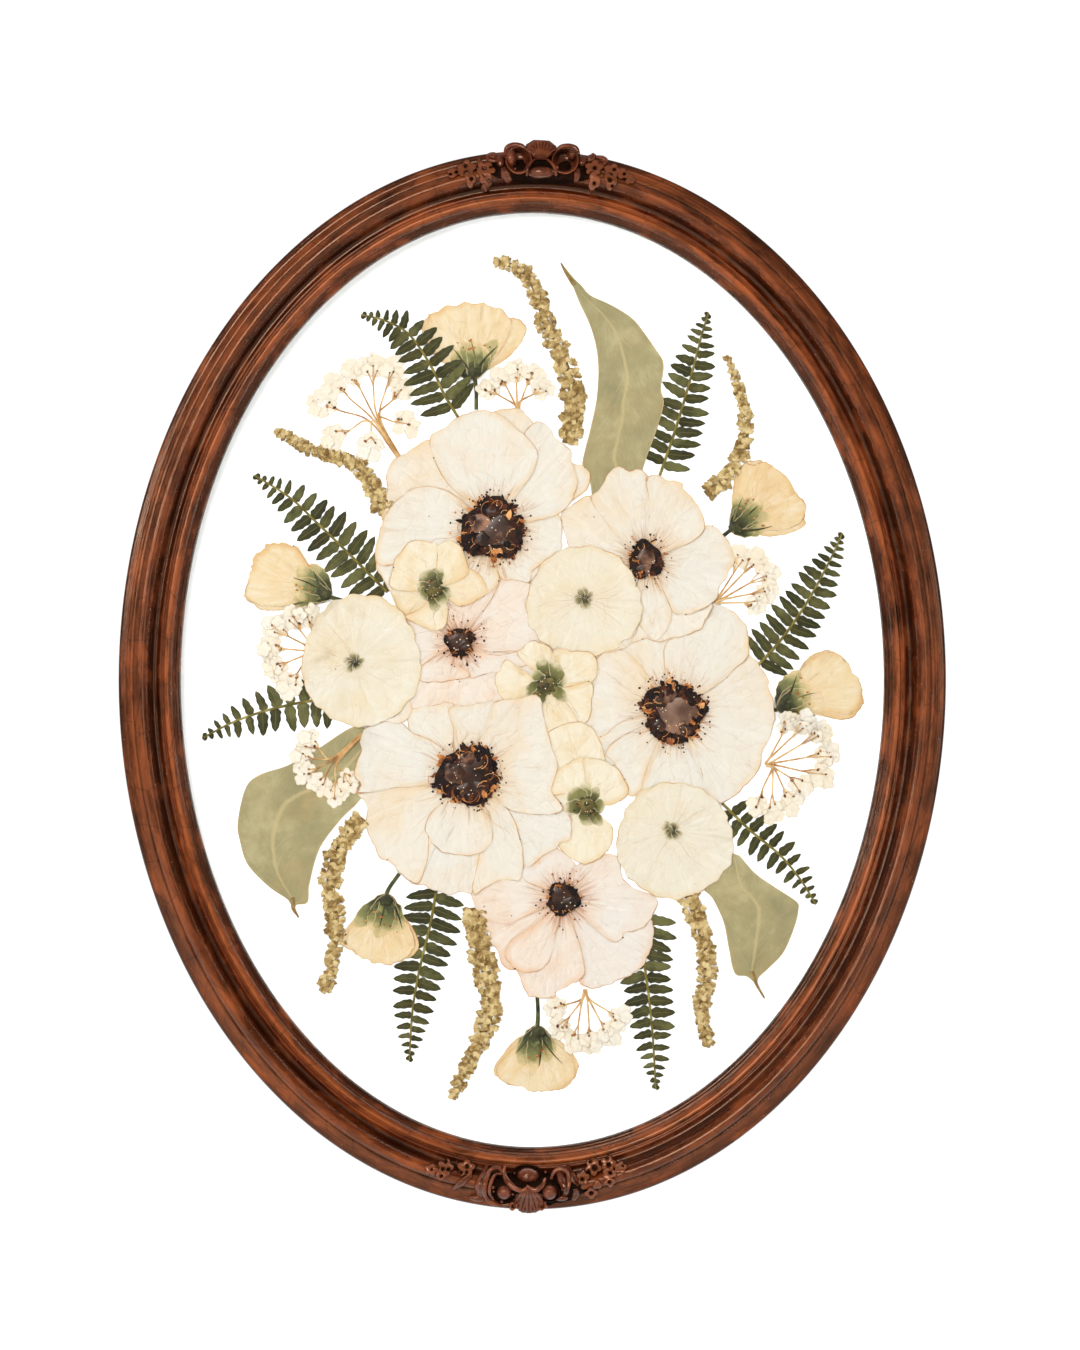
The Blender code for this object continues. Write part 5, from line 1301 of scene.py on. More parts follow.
FERNS = {
    "fern_top_left": dict(
        rib=[(361, 314), (385, 320), (409, 334), (431, 366), (443, 392), (458, 417)], spacing=12.2,
        leaflet=37, seed=11),
    "fern_top_right": dict(
        rib=[(709, 312), (702, 334), (691, 377), (676, 428), (660, 475)], spacing=11.6, leaflet=29,
        seed=12),
    "fern_left": dict(
        rib=[(254, 475), (289, 497), (318, 524), (347, 552), (387, 592)], spacing=12.8, leaflet=31,
        seed=13),
    "fern_lower_left": dict(
        rib=[(202, 738), (233, 722), (268, 710), (310, 701), (338, 701)], spacing=14.0, leaflet=29,
        seed=14),
    "fern_right": dict(
        rib=[(843, 533), (829, 563), (807, 603), (782, 639), (757, 667)], spacing=11.2, leaflet=29,
        seed=15),
    "fern_lower_right": dict(
        rib=[(816, 904), (801, 880), (780, 855), (751, 831), (722, 803)], spacing=12.5, leaflet=22,
        seed=16),
    "fern_bottom_left": dict(
        rib=[(409, 1062), (412, 1013), (419, 971), (430, 925), (437, 886)], spacing=12.4,
        leaflet=30, seed=17),
    "fern_bottom_right": dict(
        rib=[(656, 1090), (653, 1038), (649, 996), (645, 961), (650, 915)], spacing=11.8,
        leaflet=28, seed=18),
}


def leaflet(shape, root, way, length, half, seed, tone):
    """One fern leaflet: narrow foot, wavy sides and a blunt point."""
    draw = np.random.default_rng(seed)
    side = np.array((-way[1], way[0]))
    rows = np.linspace(0, 1, 12)
    profile = np.interp(rows, (0, 0.06, 0.16, 0.30, 0.55, 0.78, 0.92, 1.0),
                        (0.40, 0.78, 1.0, 0.90, 0.86, 0.62, 0.34, 0.05))
    wavy = 1 + 0.09 * np.sin(rows * length * 1.9 + draw.uniform(0, 6))
    width = half * profile * wavy
    bend = draw.uniform(0.02, 0.09) * length * rows ** 2 * draw.choice([1, 1, -0.5])
    line = root + rows[:, None] * way * length + bend[:, None] * side
    lanes = np.linspace(-1, 1, 7)
    grid = line[:, None] + side * (width[:, None] * lanes)[..., None]
    x, z = np.moveaxis(grid, -1, 0)
    fold = 0.30 * (1 - np.abs(lanes))[None] * np.sin(math.pi * np.clip(rows + 0.1, 0, 1))[:, None]
    relief = fold + 0.14 * ripple(x, z, seed + 3, 4.5)
    relief -= relief.min()
    height = ground.under(x, z, 1.0) + 0.05 + LEAF_THICKNESS + relief
    top = np.stack([x, height, z], -1)
    edge = width[:, None] * (1 - np.abs(lanes))
    first = per_point(x, edge, rows[:, None], lanes[None])
    shape.add(slab(top, LEAF_THICKNESS), FERN, first, (tone, 0.35, seed % 9))
    ground.press(top)


def build_fern(name):
    data = FERNS[name]
    shape = Shape()
    draw = np.random.default_rng(data["seed"])
    rib = smooth(places(data["rib"]), 240)
    along = tangents(rib)
    length = np.linalg.norm(np.diff(rib, axis=0), axis=1).sum()
    spacing = data["spacing"] * PIXEL
    full = data["leaflet"] * PIXEL
    down = 1.2
    number = 0
    while down < length - 0.5:
        grown = 1 - math.exp(-down / (full * 1.75))
        gap = spacing * min(1.0, 0.50 + 0.5 * down / (full * 1.6))
        for side in (-1, 1):
            index = min(239, int((down + side * 0.12 * gap) / length * 239))
            across = np.array((-along[index][1], along[index][0])) * side
            way = across - along[index] * draw.uniform(0.10, 0.26)
            way /= np.linalg.norm(way)
            reach = max(1.5, full * 1.06 * grown) * draw.uniform(0.92, 1.06)
            half = min(gap * 0.47, max(1.05, reach * 0.235)) * draw.uniform(0.92, 1.08)
            leaflet(shape, rib[index] + across * 0.2, way, reach, half,
                    1000 * data["seed"] + number * 2 + (side > 0), draw.uniform(0, 1))
        down += gap
        number += 1
    tipward = (rib[0] - rib[8]) / np.linalg.norm(rib[0] - rib[8])
    leaflet(shape, rib[8], tipward, 2.4, 1.0, data["seed"], 0.4)
    strand(shape, data["rib"], (0.34, 0.46, 0.55, 0.62), RACHIS, 0.35, 8, 0.8, count=60)
    shape.make(name + "_frond", "fern_green", name)


LEAVES = {
    "leaf_top": dict(
        left=[(563, 264), (573, 286), (580, 303), (592, 330), (598, 360), (597, 395), (590, 430),
              (582, 465), (589, 476), (592, 496)],
        right=[(563, 264), (573, 276), (582, 285), (590, 294), (607, 302), (620, 309), (634, 319),
               (646, 334), (657, 350), (664, 363), (661, 388), (664, 403), (656, 432), (646, 459),
               (640, 478)],
        seed=61, worn=0.25, tail=[(574, 284), (566, 272), (561, 262)]),
    "leaf_lower_left": dict(
        left=[(297, 917), (291, 911), (288, 901), (268, 887), (247, 865), (239, 841), (237, 822),
              (245, 788), (259, 775), (286, 766), (314, 751), (352, 727), (368, 730)],
        right=[(297, 917), (295, 906), (307, 903), (309, 884), (319, 849), (340, 820), (362, 796),
               (370, 760)],
        seed=62, worn=0.45, tail=[(292, 898), (293, 908), (298, 918)]),
    "leaf_lower_right": dict(
        left=[(764, 998), (757, 986), (747, 977), (735, 974), (729, 948), (724, 923), (713, 899),
              (704, 888), (716, 870), (728, 852)],
        right=[(764, 998), (758, 981), (768, 970), (784, 953), (795, 927), (799, 910), (797, 902),
               (776, 888), (756, 874), (740, 856)],
        seed=63, worn=0.3, tail=[(752, 972), (757, 985), (765, 999)]),
}


def build_leaf(name):
    data = LEAVES[name]
    shape = Shape()
    seed = data["seed"]
    rows = 60
    lanes = np.linspace(-1, 1, 17)
    left = smooth(places(data["left"]), rows)
    right = smooth(places(data["right"]), rows)
    middle = (left + right) / 2
    half = (right - left) / 2
    grid = middle[:, None] + half[:, None] * lanes[None, :, None]
    x, z = np.moveaxis(grid, -1, 0)
    share = np.linspace(0, 1, rows)
    across = np.broadcast_to(lanes[None] + 0.12 * np.sin(share * 5 + seed)[:, None], x.shape)
    relief = 0.30 * ripple(x, z, seed, 26.0) + 0.12 * ripple(x, z, seed + 1, 8.0)
    relief += 0.05 * ripple(x, z, seed + 2, 3.0)
    relief += 0.25 * np.exp(-(across / 0.08) ** 2)
    for offset, strength in ((-0.45, 0.18), (0.4, 0.2), (0.7, 0.12), (-0.75, 0.12)):
        relief += strength * np.exp(-((across - offset - 0.15 * share[:, None]) / 0.03) ** 2)
    relief -= relief.min()
    height = ground.under(x, z, 2.0) + LAYER_GAP + LEAF_THICKNESS + relief
    top = np.stack([x, height, z], -1)
    edge = np.minimum(np.linalg.norm(grid - left[:, None], axis=2),
                      np.linalg.norm(grid - right[:, None], axis=2))
    first = per_point(x, edge, share[:, None], across)
    shape.add(slab(top, LEAF_THICKNESS), SAGE, first, (0.5, data["worn"], seed % 9))
    ground.press(top)
    strand(shape, data["tail"], (0.9, 0.6, 0.35), SPIKE_CORE, 0.6, flatten=0.5)
    shape.make(name + "_blade", "sage_leaf", name)


# Flower spikes

SPIKES = {
    "spike_top": dict(
        line=[(496, 259), (522, 270), (536, 290), (547, 326), (556, 344), (571, 384), (574, 413),
              (567, 443)], widths=(10, 19, 24), seed=71),
    "spike_upper_right": dict(
        line=[(727, 355), (738, 384), (747, 421), (742, 450), (724, 479), (706, 494)],
        widths=(5, 13, 17), seed=72),
    "spike_left": dict(
        line=[(277, 430), (304, 446), (336, 457), (365, 472), (380, 501), (382, 515)],
        widths=(7, 14, 19), seed=73),
    "spike_lower_left": dict(
        line=[(323, 990), (331, 968), (335, 925), (330, 876), (342, 845), (362, 818)],
        widths=(12, 19, 20), seed=74),
    "spike_bottom_left": dict(
        line=[(452, 1096), (468, 1066), (484, 1031), (491, 996), (479, 947), (474, 908)],
        widths=(11, 21, 25), seed=75),
    "spike_bottom_right": dict(
        line=[(709, 1046), (702, 1013), (708, 971), (702, 932), (688, 894)],
        widths=(11, 18, 19), seed=76),
}


def bract(shape, place, heading, length, half, height, tone, rise):
    """A small pointed scale, cupped and raised at its tip."""
    way = toward(heading)
    side = np.array((-way[1], way[0]))
    rows = np.linspace(0, 1, 4)
    lanes = np.linspace(-1, 1, 3)
    width = half * np.array((0.50, 1.0, 0.85, 0.10))
    line = place + (rows[:, None] - 0.25) * way * length
    grid = line[:, None] + side * (width[:, None] * lanes)[..., None]
    lift = height + 0.5 * (1 - lanes ** 2)[None] * half * 0.9 + rows[:, None] * length * rise
    top = np.stack([grid[..., 0], np.minimum(lift, CEILING - 0.3), grid[..., 1]], -1)
    shape.add(slab(top, 0.1), BRACT, second=(tone, 0, 0))


def build_spike(name):
    data = SPIKES[name]
    shape = Shape()
    draw = np.random.default_rng(data["seed"])
    line = smooth(places(data["line"]), 100)
    along = tangents(line)
    widths = np.interp(np.linspace(0, 1, 100), (0, 0.5, 1), data["widths"]) * PIXEL / 2
    floor = ground.under(line[:, 0], line[:, 1], 2.0)
    core = np.stack([line[:, 0], floor + 0.5, line[:, 1]], -1)
    shape.add(tube(core, widths * 0.42, 10, 0.22), SPIKE_CORE, second=(0.3, 0, 0))
    length = np.linalg.norm(np.diff(line, axis=0), axis=1).sum()
    knots = int(length / 0.95)
    for knot in range(knots):
        index = min(99, int((knot + draw.uniform(0.1, 0.9)) / knots * 99))
        across = np.array((-along[index][1], along[index][0]))
        lateral = (0.0, -0.62, 0.62)[knot % 3] + draw.uniform(-0.25, 0.25)
        middle = line[index] + across * lateral * widths[index]
        tipward = math.atan2(-along[index][1], -along[index][0])
        size = 0.60 + widths[index] * 0.13
        for scale in range(5):
            turn = tipward - lateral * 1.1 + (scale - 2) * 0.8 + draw.normal(0, 0.25)
            reach = size * draw.uniform(2.0, 3.2)
            place = middle + draw.uniform(-0.35, 0.35, 2)
            raised = 0.35 + 0.9 * (1 - lateral ** 2) + draw.uniform(0, 0.5)
            bract(shape, place, turn, reach, reach * draw.uniform(0.30, 0.44),
                  floor[index] + raised, draw.uniform(0, 1), draw.uniform(0.02, 0.30))
        spot = middle + draw.uniform(-0.5, 0.5, 2)
        bead = size * draw.uniform(0.35, 0.55)
        shape.add(ball((spot[0], floor[index] + 1.3, spot[1]), (bead, bead * 0.8, bead), 7, 4),
                  BRACT, second=(draw.uniform(0, 1), 0, 0))
    swath = line[:, None] + np.stack([-along[:, 1], along[:, 0]], -1)[:, None] * (
        widths[:, None] * np.linspace(-0.9, 0.9, 7))[..., None]
    crown = floor[:, None] + 0.5 + 1.0 * (1 - np.linspace(-0.9, 0.9, 7) ** 2)[None]
    ground.press(np.stack([swath[..., 0], crown, swath[..., 1]], -1))
    shape.make(name + "_bracts", "straw_spike", name)


# Sprays of tiny white flowers

SPRAYS = {
    "spray_upper_left": dict(
        fork=(374, 419), foot=(398, 456), seed=81,
        groups=[(334, 436, 10), (320, 405, 11), (333, 384, 10), (352, 371, 9), (372, 364, 9),
                (393, 368, 10), (403, 388, 9), (369, 447, 11), (407, 423, 11)]),
    "spray_top": dict(
        fork=(517, 403), foot=(518, 412), seed=82,
        groups=[(487, 389, 7), (500, 376, 7), (516, 369, 8), (533, 373, 8), (543, 388, 8)]),
    "spray_left": dict(
        fork=(312, 650), foot=(322, 652), seed=83,
        groups=[(310, 616, 8), (292, 618, 9), (273, 628, 9), (268, 648, 9), (273, 669, 9),
                (288, 686, 9)]),
    "spray_lower_left": dict(
        fork=(334, 761), foot=(362, 734), seed=84,
        groups=[(308, 741, 8), (299, 757, 8), (305, 774, 8), (320, 785, 8), (336, 794, 8),
                (350, 781, 8)]),
    "spray_upper_right": dict(
        fork=(722, 600), foot=(715, 603), seed=85,
        groups=[(741, 557, 8), (757, 557, 7), (768, 572, 8), (769, 590, 8), (757, 604, 7)]),
    "spray_right": dict(
        fork=(771, 762), foot=(766, 765), seed=86,
        groups=[(788, 722, 8), (806, 722, 8), (822, 733, 9), (829, 755, 9), (822, 777, 9),
                (802, 787, 8), (792, 804, 8), (774, 814, 8), (758, 806, 7)]),
    "spray_bottom": dict(
        fork=(585, 999), foot=(585, 990), seed=87,
        groups=[(556, 1009, 9), (560, 1029, 9), (574, 1043, 8), (592, 1044, 9), (610, 1036, 9),
                (621, 1019, 9)]),
}


def floret_sheet(shape, spot, size, draw, seed):
    """A tiny flower of four or five rounded overlapping petals, pressed flat. size is in pixels."""
    lobes = 5 if draw.uniform() < 0.6 else 4
    half_turn = math.pi / lobes
    tilt = draw.uniform(0, 6.28)
    rim = []
    for step in range(36):
        way = step * 2 * math.pi / 36
        phase = (way + half_turn) % (2 * half_turn) - half_turn
        inner = 0.45 ** 2 - (0.55 * math.sin(phase)) ** 2
        reach = 0.55 * math.cos(phase) + math.sqrt(max(inner, 0.01))
        reach *= size * draw.uniform(0.95, 1.05)
        rim.append((spot[0] + reach * math.cos(way + tilt), spot[1] + reach * math.sin(way + tilt)))
    petal(shape, spot, rim, FLORET, draw.uniform(0.1, 0.8), seed, 24, 4, True, cup=0.10,
          reach=1.0, wave=0.06, stain=0.5, stain_to=1.2)


def build_spray(name):
    data = SPRAYS[name]
    shape = Shape()
    draw = np.random.default_rng(data["seed"])
    fork = np.array(data["fork"], float)
    foot = np.array(data["foot"], float)
    trunk = (fork - foot) / (np.linalg.norm(fork - foot) + 1e-6)
    aside = np.array((-trunk[1], trunk[0]))
    for number, (x, y, radius) in enumerate(data["groups"]):
        group = np.array((x, y), float)
        lean = float(np.dot(group - fork, aside)) / 40
        start = foot + aside * lean * 1.2
        branch = fork + (group - fork) * 0.62
        knee = fork + aside * lean * 5.0 + draw.uniform(-1.5, 1.5, 2)
        strand(shape, [start, knee, branch], (0.42, 0.40, 0.32), STALK, draw.uniform(0.2, 0.8), 6)
        florets = 4 if radius < 9 else 5
        turn_start = draw.uniform(0, 6.28)
        spots = []
        for floret in range(florets):
            turn = turn_start + floret * 2 * math.pi / florets + draw.uniform(-0.3, 0.3)
            spots.append(group + radius * draw.uniform(0.55, 0.95)
                         * toward(turn))
        for floret, spot in enumerate(spots):
            size = draw.uniform(6.6, 8.4)
            floret_sheet(shape, spot, size, draw, data["seed"] * 50 + number * 5 + floret)
        for spot in spots[:3]:
            end = spot + (branch - spot) * draw.uniform(0.1, 0.6)
            strand(shape, [branch, (branch + end) / 2 + draw.uniform(-0.8, 0.8, 2), end],
                   (0.32, 0.27, 0.22), STALK, draw.uniform(0.2, 0.9), 5, count=6)
            centre = at(end)
            dot = draw.uniform(0.5, 1.0)
            turn = draw.uniform(0, 3)
            bead(shape, centre, (dot, dot * 0.5, dot * 0.7), FLORET_DOT, draw.uniform(0, 1),
                 tilt=turn)
            if draw.uniform() < 0.6:
                centre = at(spot + draw.uniform(-4, 4, 2))
                dot = draw.uniform(0.15, 0.28)
                bead(shape, centre, (dot, dot * 0.5, dot), FLORET_DOT, draw.uniform(0, 0.6), 6)
    shape.make(name + "_florets", "white_floret", name)


# The order in which the pieces were laid, from the mat up

LAID = [
    (build_leaf, "leaf_", "lower_left lower_right"),
    (build_fern, "fern_", "left lower_left right lower_right bottom_left bottom_right"),
    (build_spike, "spike_", "top left lower_left bottom_left bottom_right"),
    (build_side_flower, "side_flower_", "top upper_right right left lower_left bottom"),
    (build_spray, "spray_", "upper_left top left lower_left upper_right right bottom"),
    (build_fern, "fern_", "top_right"),
    (build_leaf, "leaf_", "top"),
    (build_fern, "fern_", "top_left"),
    (build_spike, "spike_", "upper_right"),
    (build_anemone, "anemone_", "middle_pink right bottom_pink top_right top_left"),
    (build_round_petal, "round_petal_", "top"),
    (build_small_flower, "small_flower_", "left middle bottom"),
    (build_anemone, "anemone_", "left"),
    (build_round_petal, "round_petal_", "left bottom"),
]
for build, kind, names in LAID:
    for name in names.split():
        build(kind + name)


# The moulding

MOULDING = [
    (0.0, 0.0), (0.0, 12.0), (0.1, 16.2), (0.5, 17.6), (1.0, 18.2), (1.45, 18.35), (1.7, 18.4),
    (2.0, 18.6), (2.5, 18.85), (2.9, 18.9), (3.1, 18.9), (3.4, 19.1), (3.9, 19.5), (4.3, 19.7),
    (4.5, 19.8), (4.8, 20.1), (5.3, 20.7), (5.9, 20.95), (6.3, 20.8), (6.5, 21.0), (6.8, 22.3),
    (7.3, 23.9), (8.1, 25.1), (9.2, 25.8), (10.3, 25.75), (11.3, 25.1), (12.2, 24.0),
    (12.9, 22.4), (13.3, 20.6), (13.8, 18.9), (14.6, 17.8), (15.5, 17.4), (16.3, 17.7),
    (16.9, 18.05), (17.2, 18.3), (17.6, 18.4), (18.0, 18.3), (18.25, 18.0), (18.6, 17.7),
    (18.9, 17.75), (19.2, 18.3), (19.8, 18.75), (20.4, 18.75), (21.1, 18.35), (21.8, 17.6),
    (22.4, 16.6), (22.7, 15.9), (23.0, 15.7), (23.4, 15.85), (23.8, 15.6), (24.1, 15.1),
    (24.4, 14.95), (24.8, 14.9), (25.3, 14.4), (25.7, 13.6), (26.0, 12.6), (26.0, 11.7),
    (20.0, 11.7), (20.0, 0.0),
]
AROUND = 480
RAIL_WIDTH = 26.0
ROUND_CREST = 9.8

# The height of the moulding's plain outer wall
WALL = 12.0

# The hanger's pocket, in mm from the frame's middle
POCKET_DEPTH = 2.6
POCKET_HALF = 20.2
POCKET_LOW = 208.6
POCKET_HIGH = 219.6


def wood_look(name, bands):
    """Stained, worn and varnished wood. first: place around in mm, inset in mm, and how deep in the
    section's grooves a point lies, which darkens the colour there as painted shade. second: the same
    place around as a point on a circle. bands: the stain's tones from the outer edge inwards, by
    inset in mm."""
    look = Look(name, srgb(bands[1][1]), 0.25, Specular_IOR_Level=0.5, Specular_Tint=VARNISH)
    _, inset, groove_shade = look.triple("first")
    east, north, _ = look.triple("second")

    def along(stretch, across, shift=0.0):
        """The place on the rail, scaled along it and across it. It closes on itself."""
        return look.join(look.times(east, stretch), look.times(north, stretch),
                         look.plus(look.times(inset, across), shift))

    wander = look.noise(along(0.03, 0.0, 5.0), 1.0, 2.0)
    level = look.plus(inset, look.fade(wander, 0.3, 0.7, -0.4, 0.4))
    base = look.ramp(look.math("DIVIDE", level, RAIL_WIDTH),
                     *[(place / RAIL_WIDTH, srgb(code)) for place, code in bands])
    streak = look.noise(along(0.022, 0.75), 1.0, 4.0, 0.6, 0.2)
    fine = look.noise(along(0.10, 3.0, 3.0), 1.0, 3.0, 0.6)
    cloud = look.noise(along(0.050, 0.20, 7.0), 1.0, 3.0, 0.6)
    grained = look.fade(look.away(inset, ROUND_CREST), 3.0, 5.0, 0.6, 1.6)
    tone = look.plus(look.times(look.math("SUBTRACT", streak, 0.5), grained),
                     look.times(look.math("SUBTRACT", fine, 0.5), 0.3))
    tone = look.plus(tone, look.times(look.math("SUBTRACT", cloud, 0.5), 4.0))
    darker = look.mix(look.fade(tone, 0.1, -0.9, 0.0, 0.90), base, srgb("#1A0500"))
    lighter = look.mix(look.fade(tone, 0.1, 0.9, 0.0, 0.60), darker, srgb("#9C4A1C"))
    # Painted shade: the colour darkens toward near-black in the section's grooves.
    colour = look.mix(look.fade(groove_shade, 0.0, 1.0, 0.0, 0.8), lighter, srgb("#160400"))
    plates = look.cells(along(0.050, 0.12), 1.0, feature="DISTANCE_TO_EDGE")
    seam = look.fade(plates.outputs["Distance"], 0.0, 0.020, 0.5, 0.0)
    colour = look.mix(seam, colour, srgb("#1A0500"))
    worn = look.cells(along(0.6, 1.0, 1.0), 1.0)
    pick = look.chosen(worn, "Y", 0.975)
    speck = look.times(look.fade(worn.outputs["Distance"], 0.08, 0.16, 1.0, 0.0), pick)
    colour = look.mix(look.times(speck, 0.6), colour, srgb("#E0B090"))
    look.colour(colour)
    look.put(look.shader.inputs["Roughness"], look.fade(cloud, 0.3, 0.7, 0.18, 0.34))
    height = look.plus(look.times(fine, 0.2), look.times(cloud, 1.2))
    look.normal(look.bump(height, 0.0006, 0.35))
    return look.material


def carving_look():
    """Varnished carved wood. first: as in wood_look, its third number painted shade in grooves, holes
    and at the feet of the forms. second: how worn a crest is, with a painted highlight on the cups'
    lower rims.
    """
    look = Look("carved_wood_skin", srgb("#4E2010"), 0.2, Specular_IOR_Level=0.6,
                Specular_Tint=VARNISH)
    _, _, groove_shade = look.triple("first")
    worn_and_painted_highlight, _, _ = look.triple("second")
    place = look.place()
    cloud = look.noise(place, 85.0, 4.0, 0.6)
    colour = look.ramp(cloud, (0.28, srgb("#34150A")), (0.5, srgb("#58291A")),
                       (0.74, srgb("#80442F")))
    # Lighter where worn: wear on the crests, and painted highlight on the cups' lower rims.
    colour = look.mix(look.times(worn_and_painted_highlight, 0.5), colour, srgb("#A2592F"))
    # Painted shade: near-black in grooves, holes and at the feet of the carved forms.
    colour = look.mix(look.fade(groove_shade, 0.0, 1.0, 0.0, 0.97), colour, srgb("#0E0300"))
    look.colour(colour)
    look.put(look.shader.inputs["Roughness"], look.fade(cloud, 0.3, 0.7, 0.16, 0.30))
    look.normal(look.bump(look.noise(place, 260.0, 3.0), 0.0003, 0.4))
    return look.material


VARNISH = (1.0, 0.62, 0.42)
WOOD = wood_look("mottled_wood", [
    (0.0, "#3C1808"), (2.4, "#54260F"), (4.6, "#6E361A"), (6.8, "#743C1E"), (9.2, "#662D10"),
    (11.8, "#562206"), (13.6, "#340E00"), (16.4, "#451400"), (18.2, "#5C2206"), (19.8, "#8C4620"),
    (21.7, "#7A3A1A"), (23.2, "#481A06"), (26.0, "#240A00"),
])
CARVING = carving_look()
# Near-black painted shade for the sunken ground between and around the carvings.
SHADE_RECESS = blotchy("carving_recess_shade", *tones("#150702 #241006 #3C1C0E"), 200.0, 0.7,
                 Specular_IOR_Level=0.04)


def oval_at(turn):
    """Points of the frame's outer oval and the directions inwards from them."""
    edge = np.stack([OUTER_HALF_WIDTH * np.cos(turn), OUTER_HALF_HEIGHT * np.sin(turn)], -1)
    inward = np.stack([-OUTER_HALF_HEIGHT * np.cos(turn), -OUTER_HALF_WIDTH * np.sin(turn)], -1)
    return edge, inward / np.linalg.norm(inward, axis=1)[:, None]


def oval_and_normals(count):
    return oval_at(np.linspace(0, 2 * math.pi, count, endpoint=False))


def painted_groove_shade(heights):
    """0 on the moulding's crests and 1 in its grooves, from its section's heights: the painted shade
    that darkens the grooves.
    """
    blurred = np.convolve(np.pad(heights, 3, "edge"), np.ones(7) / 7, "valid")
    return np.clip((blurred - heights) * 0.55, 0, 1)


def sink_pocket(piece):
    """Cut the hanger's pocket in the back of the top rail."""
    deep = (BACK_SETBACK + POCKET_DEPTH) * MM
    bpy.ops.mesh.primitive_cube_add(
        size=1, location=(0, 0, (POCKET_LOW + POCKET_HIGH) / 2 * MM),
        scale=(2 * POCKET_HALF * MM, 2 * deep, (POCKET_HIGH - POCKET_LOW) * MM))
    cutter = bpy.context.object
    cut = piece.modifiers.new("pocket", "BOOLEAN")
    cut.operation = "DIFFERENCE"
    cut.object = cutter
    graph = bpy.context.evaluated_depsgraph_get()
    mesh = bpy.data.meshes.new_from_object(piece.evaluated_get(graph))
    tree = KDTree(len(piece.data.vertices))
    for vertex in piece.data.vertices:
        tree.insert(vertex.co, vertex.index)
    tree.balance()
    nearest = [tree.find(vertex.co)[1] for vertex in mesh.vertices]
    for label in ("first", "second"):
        kept = np.empty(len(piece.data.vertices) * 3)
        piece.data.attributes[label].data.foreach_get("vector", kept)
        stale = mesh.attributes.get(label)
        if stale:
            mesh.attributes.remove(stale)
        values = mesh.attributes.new(label, "FLOAT_VECTOR", "POINT")
        values.data.foreach_set("vector", kept.reshape(-1, 3)[nearest].reshape(-1))
    piece.modifiers.clear()
    piece.data = mesh
    bpy.data.objects.remove(cutter)


def build_moulding():
    profile = np.array(MOULDING)
    edge, inward = oval_and_normals(AROUND)
    ring = edge[:, None] + inward[:, None] * profile[None, :, :1]
    rows = len(profile)
    points = np.stack([ring[..., 0], np.broadcast_to(profile[:, 1], ring.shape[:2]),
                       ring[..., 1]], -1)
    index = np.arange(AROUND * rows).reshape(AROUND, rows)
    after = np.roll(index, -1, axis=0)
    beside = np.roll(index, -1, axis=1)
    both = np.roll(after, -1, axis=1)
    faces = np.stack([index, after, both, beside], -1).reshape(-1, 4)
    step = np.linalg.norm(np.roll(edge, -1, axis=0) - edge, axis=1)
    around = np.concatenate([[0], np.cumsum(step)[:-1]])
    # Painted shade for the grooves, from how far each point of the section lies below its neighbours.
    depth = painted_groove_shade(profile[:, 1])
    girth = profile[:, 0] - np.where(profile[:, 0] < 1, np.clip(WALL - profile[:, 1], 0, WALL), 0)
    first = per_point(index, around[:, None], girth, depth[None])
    turn = around / (around[-1] + step[-1]) * 2 * math.pi
    reach = (around[-1] + step[-1]) / (2 * math.pi)
    second = per_point(index, reach * np.cos(turn)[:, None], reach * np.sin(turn)[:, None], 0)
    shape = Shape(pressed=False)
    shape.add((points.reshape(-1, 3), faces), WOOD, first.reshape(-1, 3), second.reshape(-1, 3))
    piece = shape.make("oval_moulding", "copper_brown_wood", "oval_frame", sharp=55)
    sink_pocket(piece)


build_moulding()


# The carvings. Their bed is the moulding's section without its fine reeds, as (inset, height)
BED = np.array([
    (-6.0, 16.0), (0.0, 18.0), (3.0, 19.4), (5.5, 21.6), (7.2, 24.2), (9.3, 26.1), (11.6, 25.2),
    (13.4, 22.6), (15.0, 20.0), (18.0, 19.4), (20.5, 18.9), (23.0, 16.2), (26.0, 13.0),
])
OVAL_EDGE = oval_and_normals(1440)[0]
BED_COLUMNS = 90


def bed_under(x, z):
    """The bed's height under places in mm, and how far in from the oval's edge they are."""
    flat = np.stack([np.ravel(x), np.ravel(z)], -1)
    away = np.sqrt(((flat[:, None] - OVAL_EDGE[None]) ** 2).sum(-1)).min(1)
    outside = (flat[:, 0] / OUTER_HALF_WIDTH) ** 2 + (flat[:, 1] / OUTER_HALF_HEIGHT) ** 2 > 1
    inset = np.where(outside, -away, away)
    height = np.interp(inset, BED[:, 0], BED[:, 1])
    return height.reshape(np.shape(x)), inset.reshape(np.shape(x))


def carved_look_values(x, z, groove_shade):
    _, inset = bed_under(x, z)
    return per_point(x, x, inset, groove_shade)


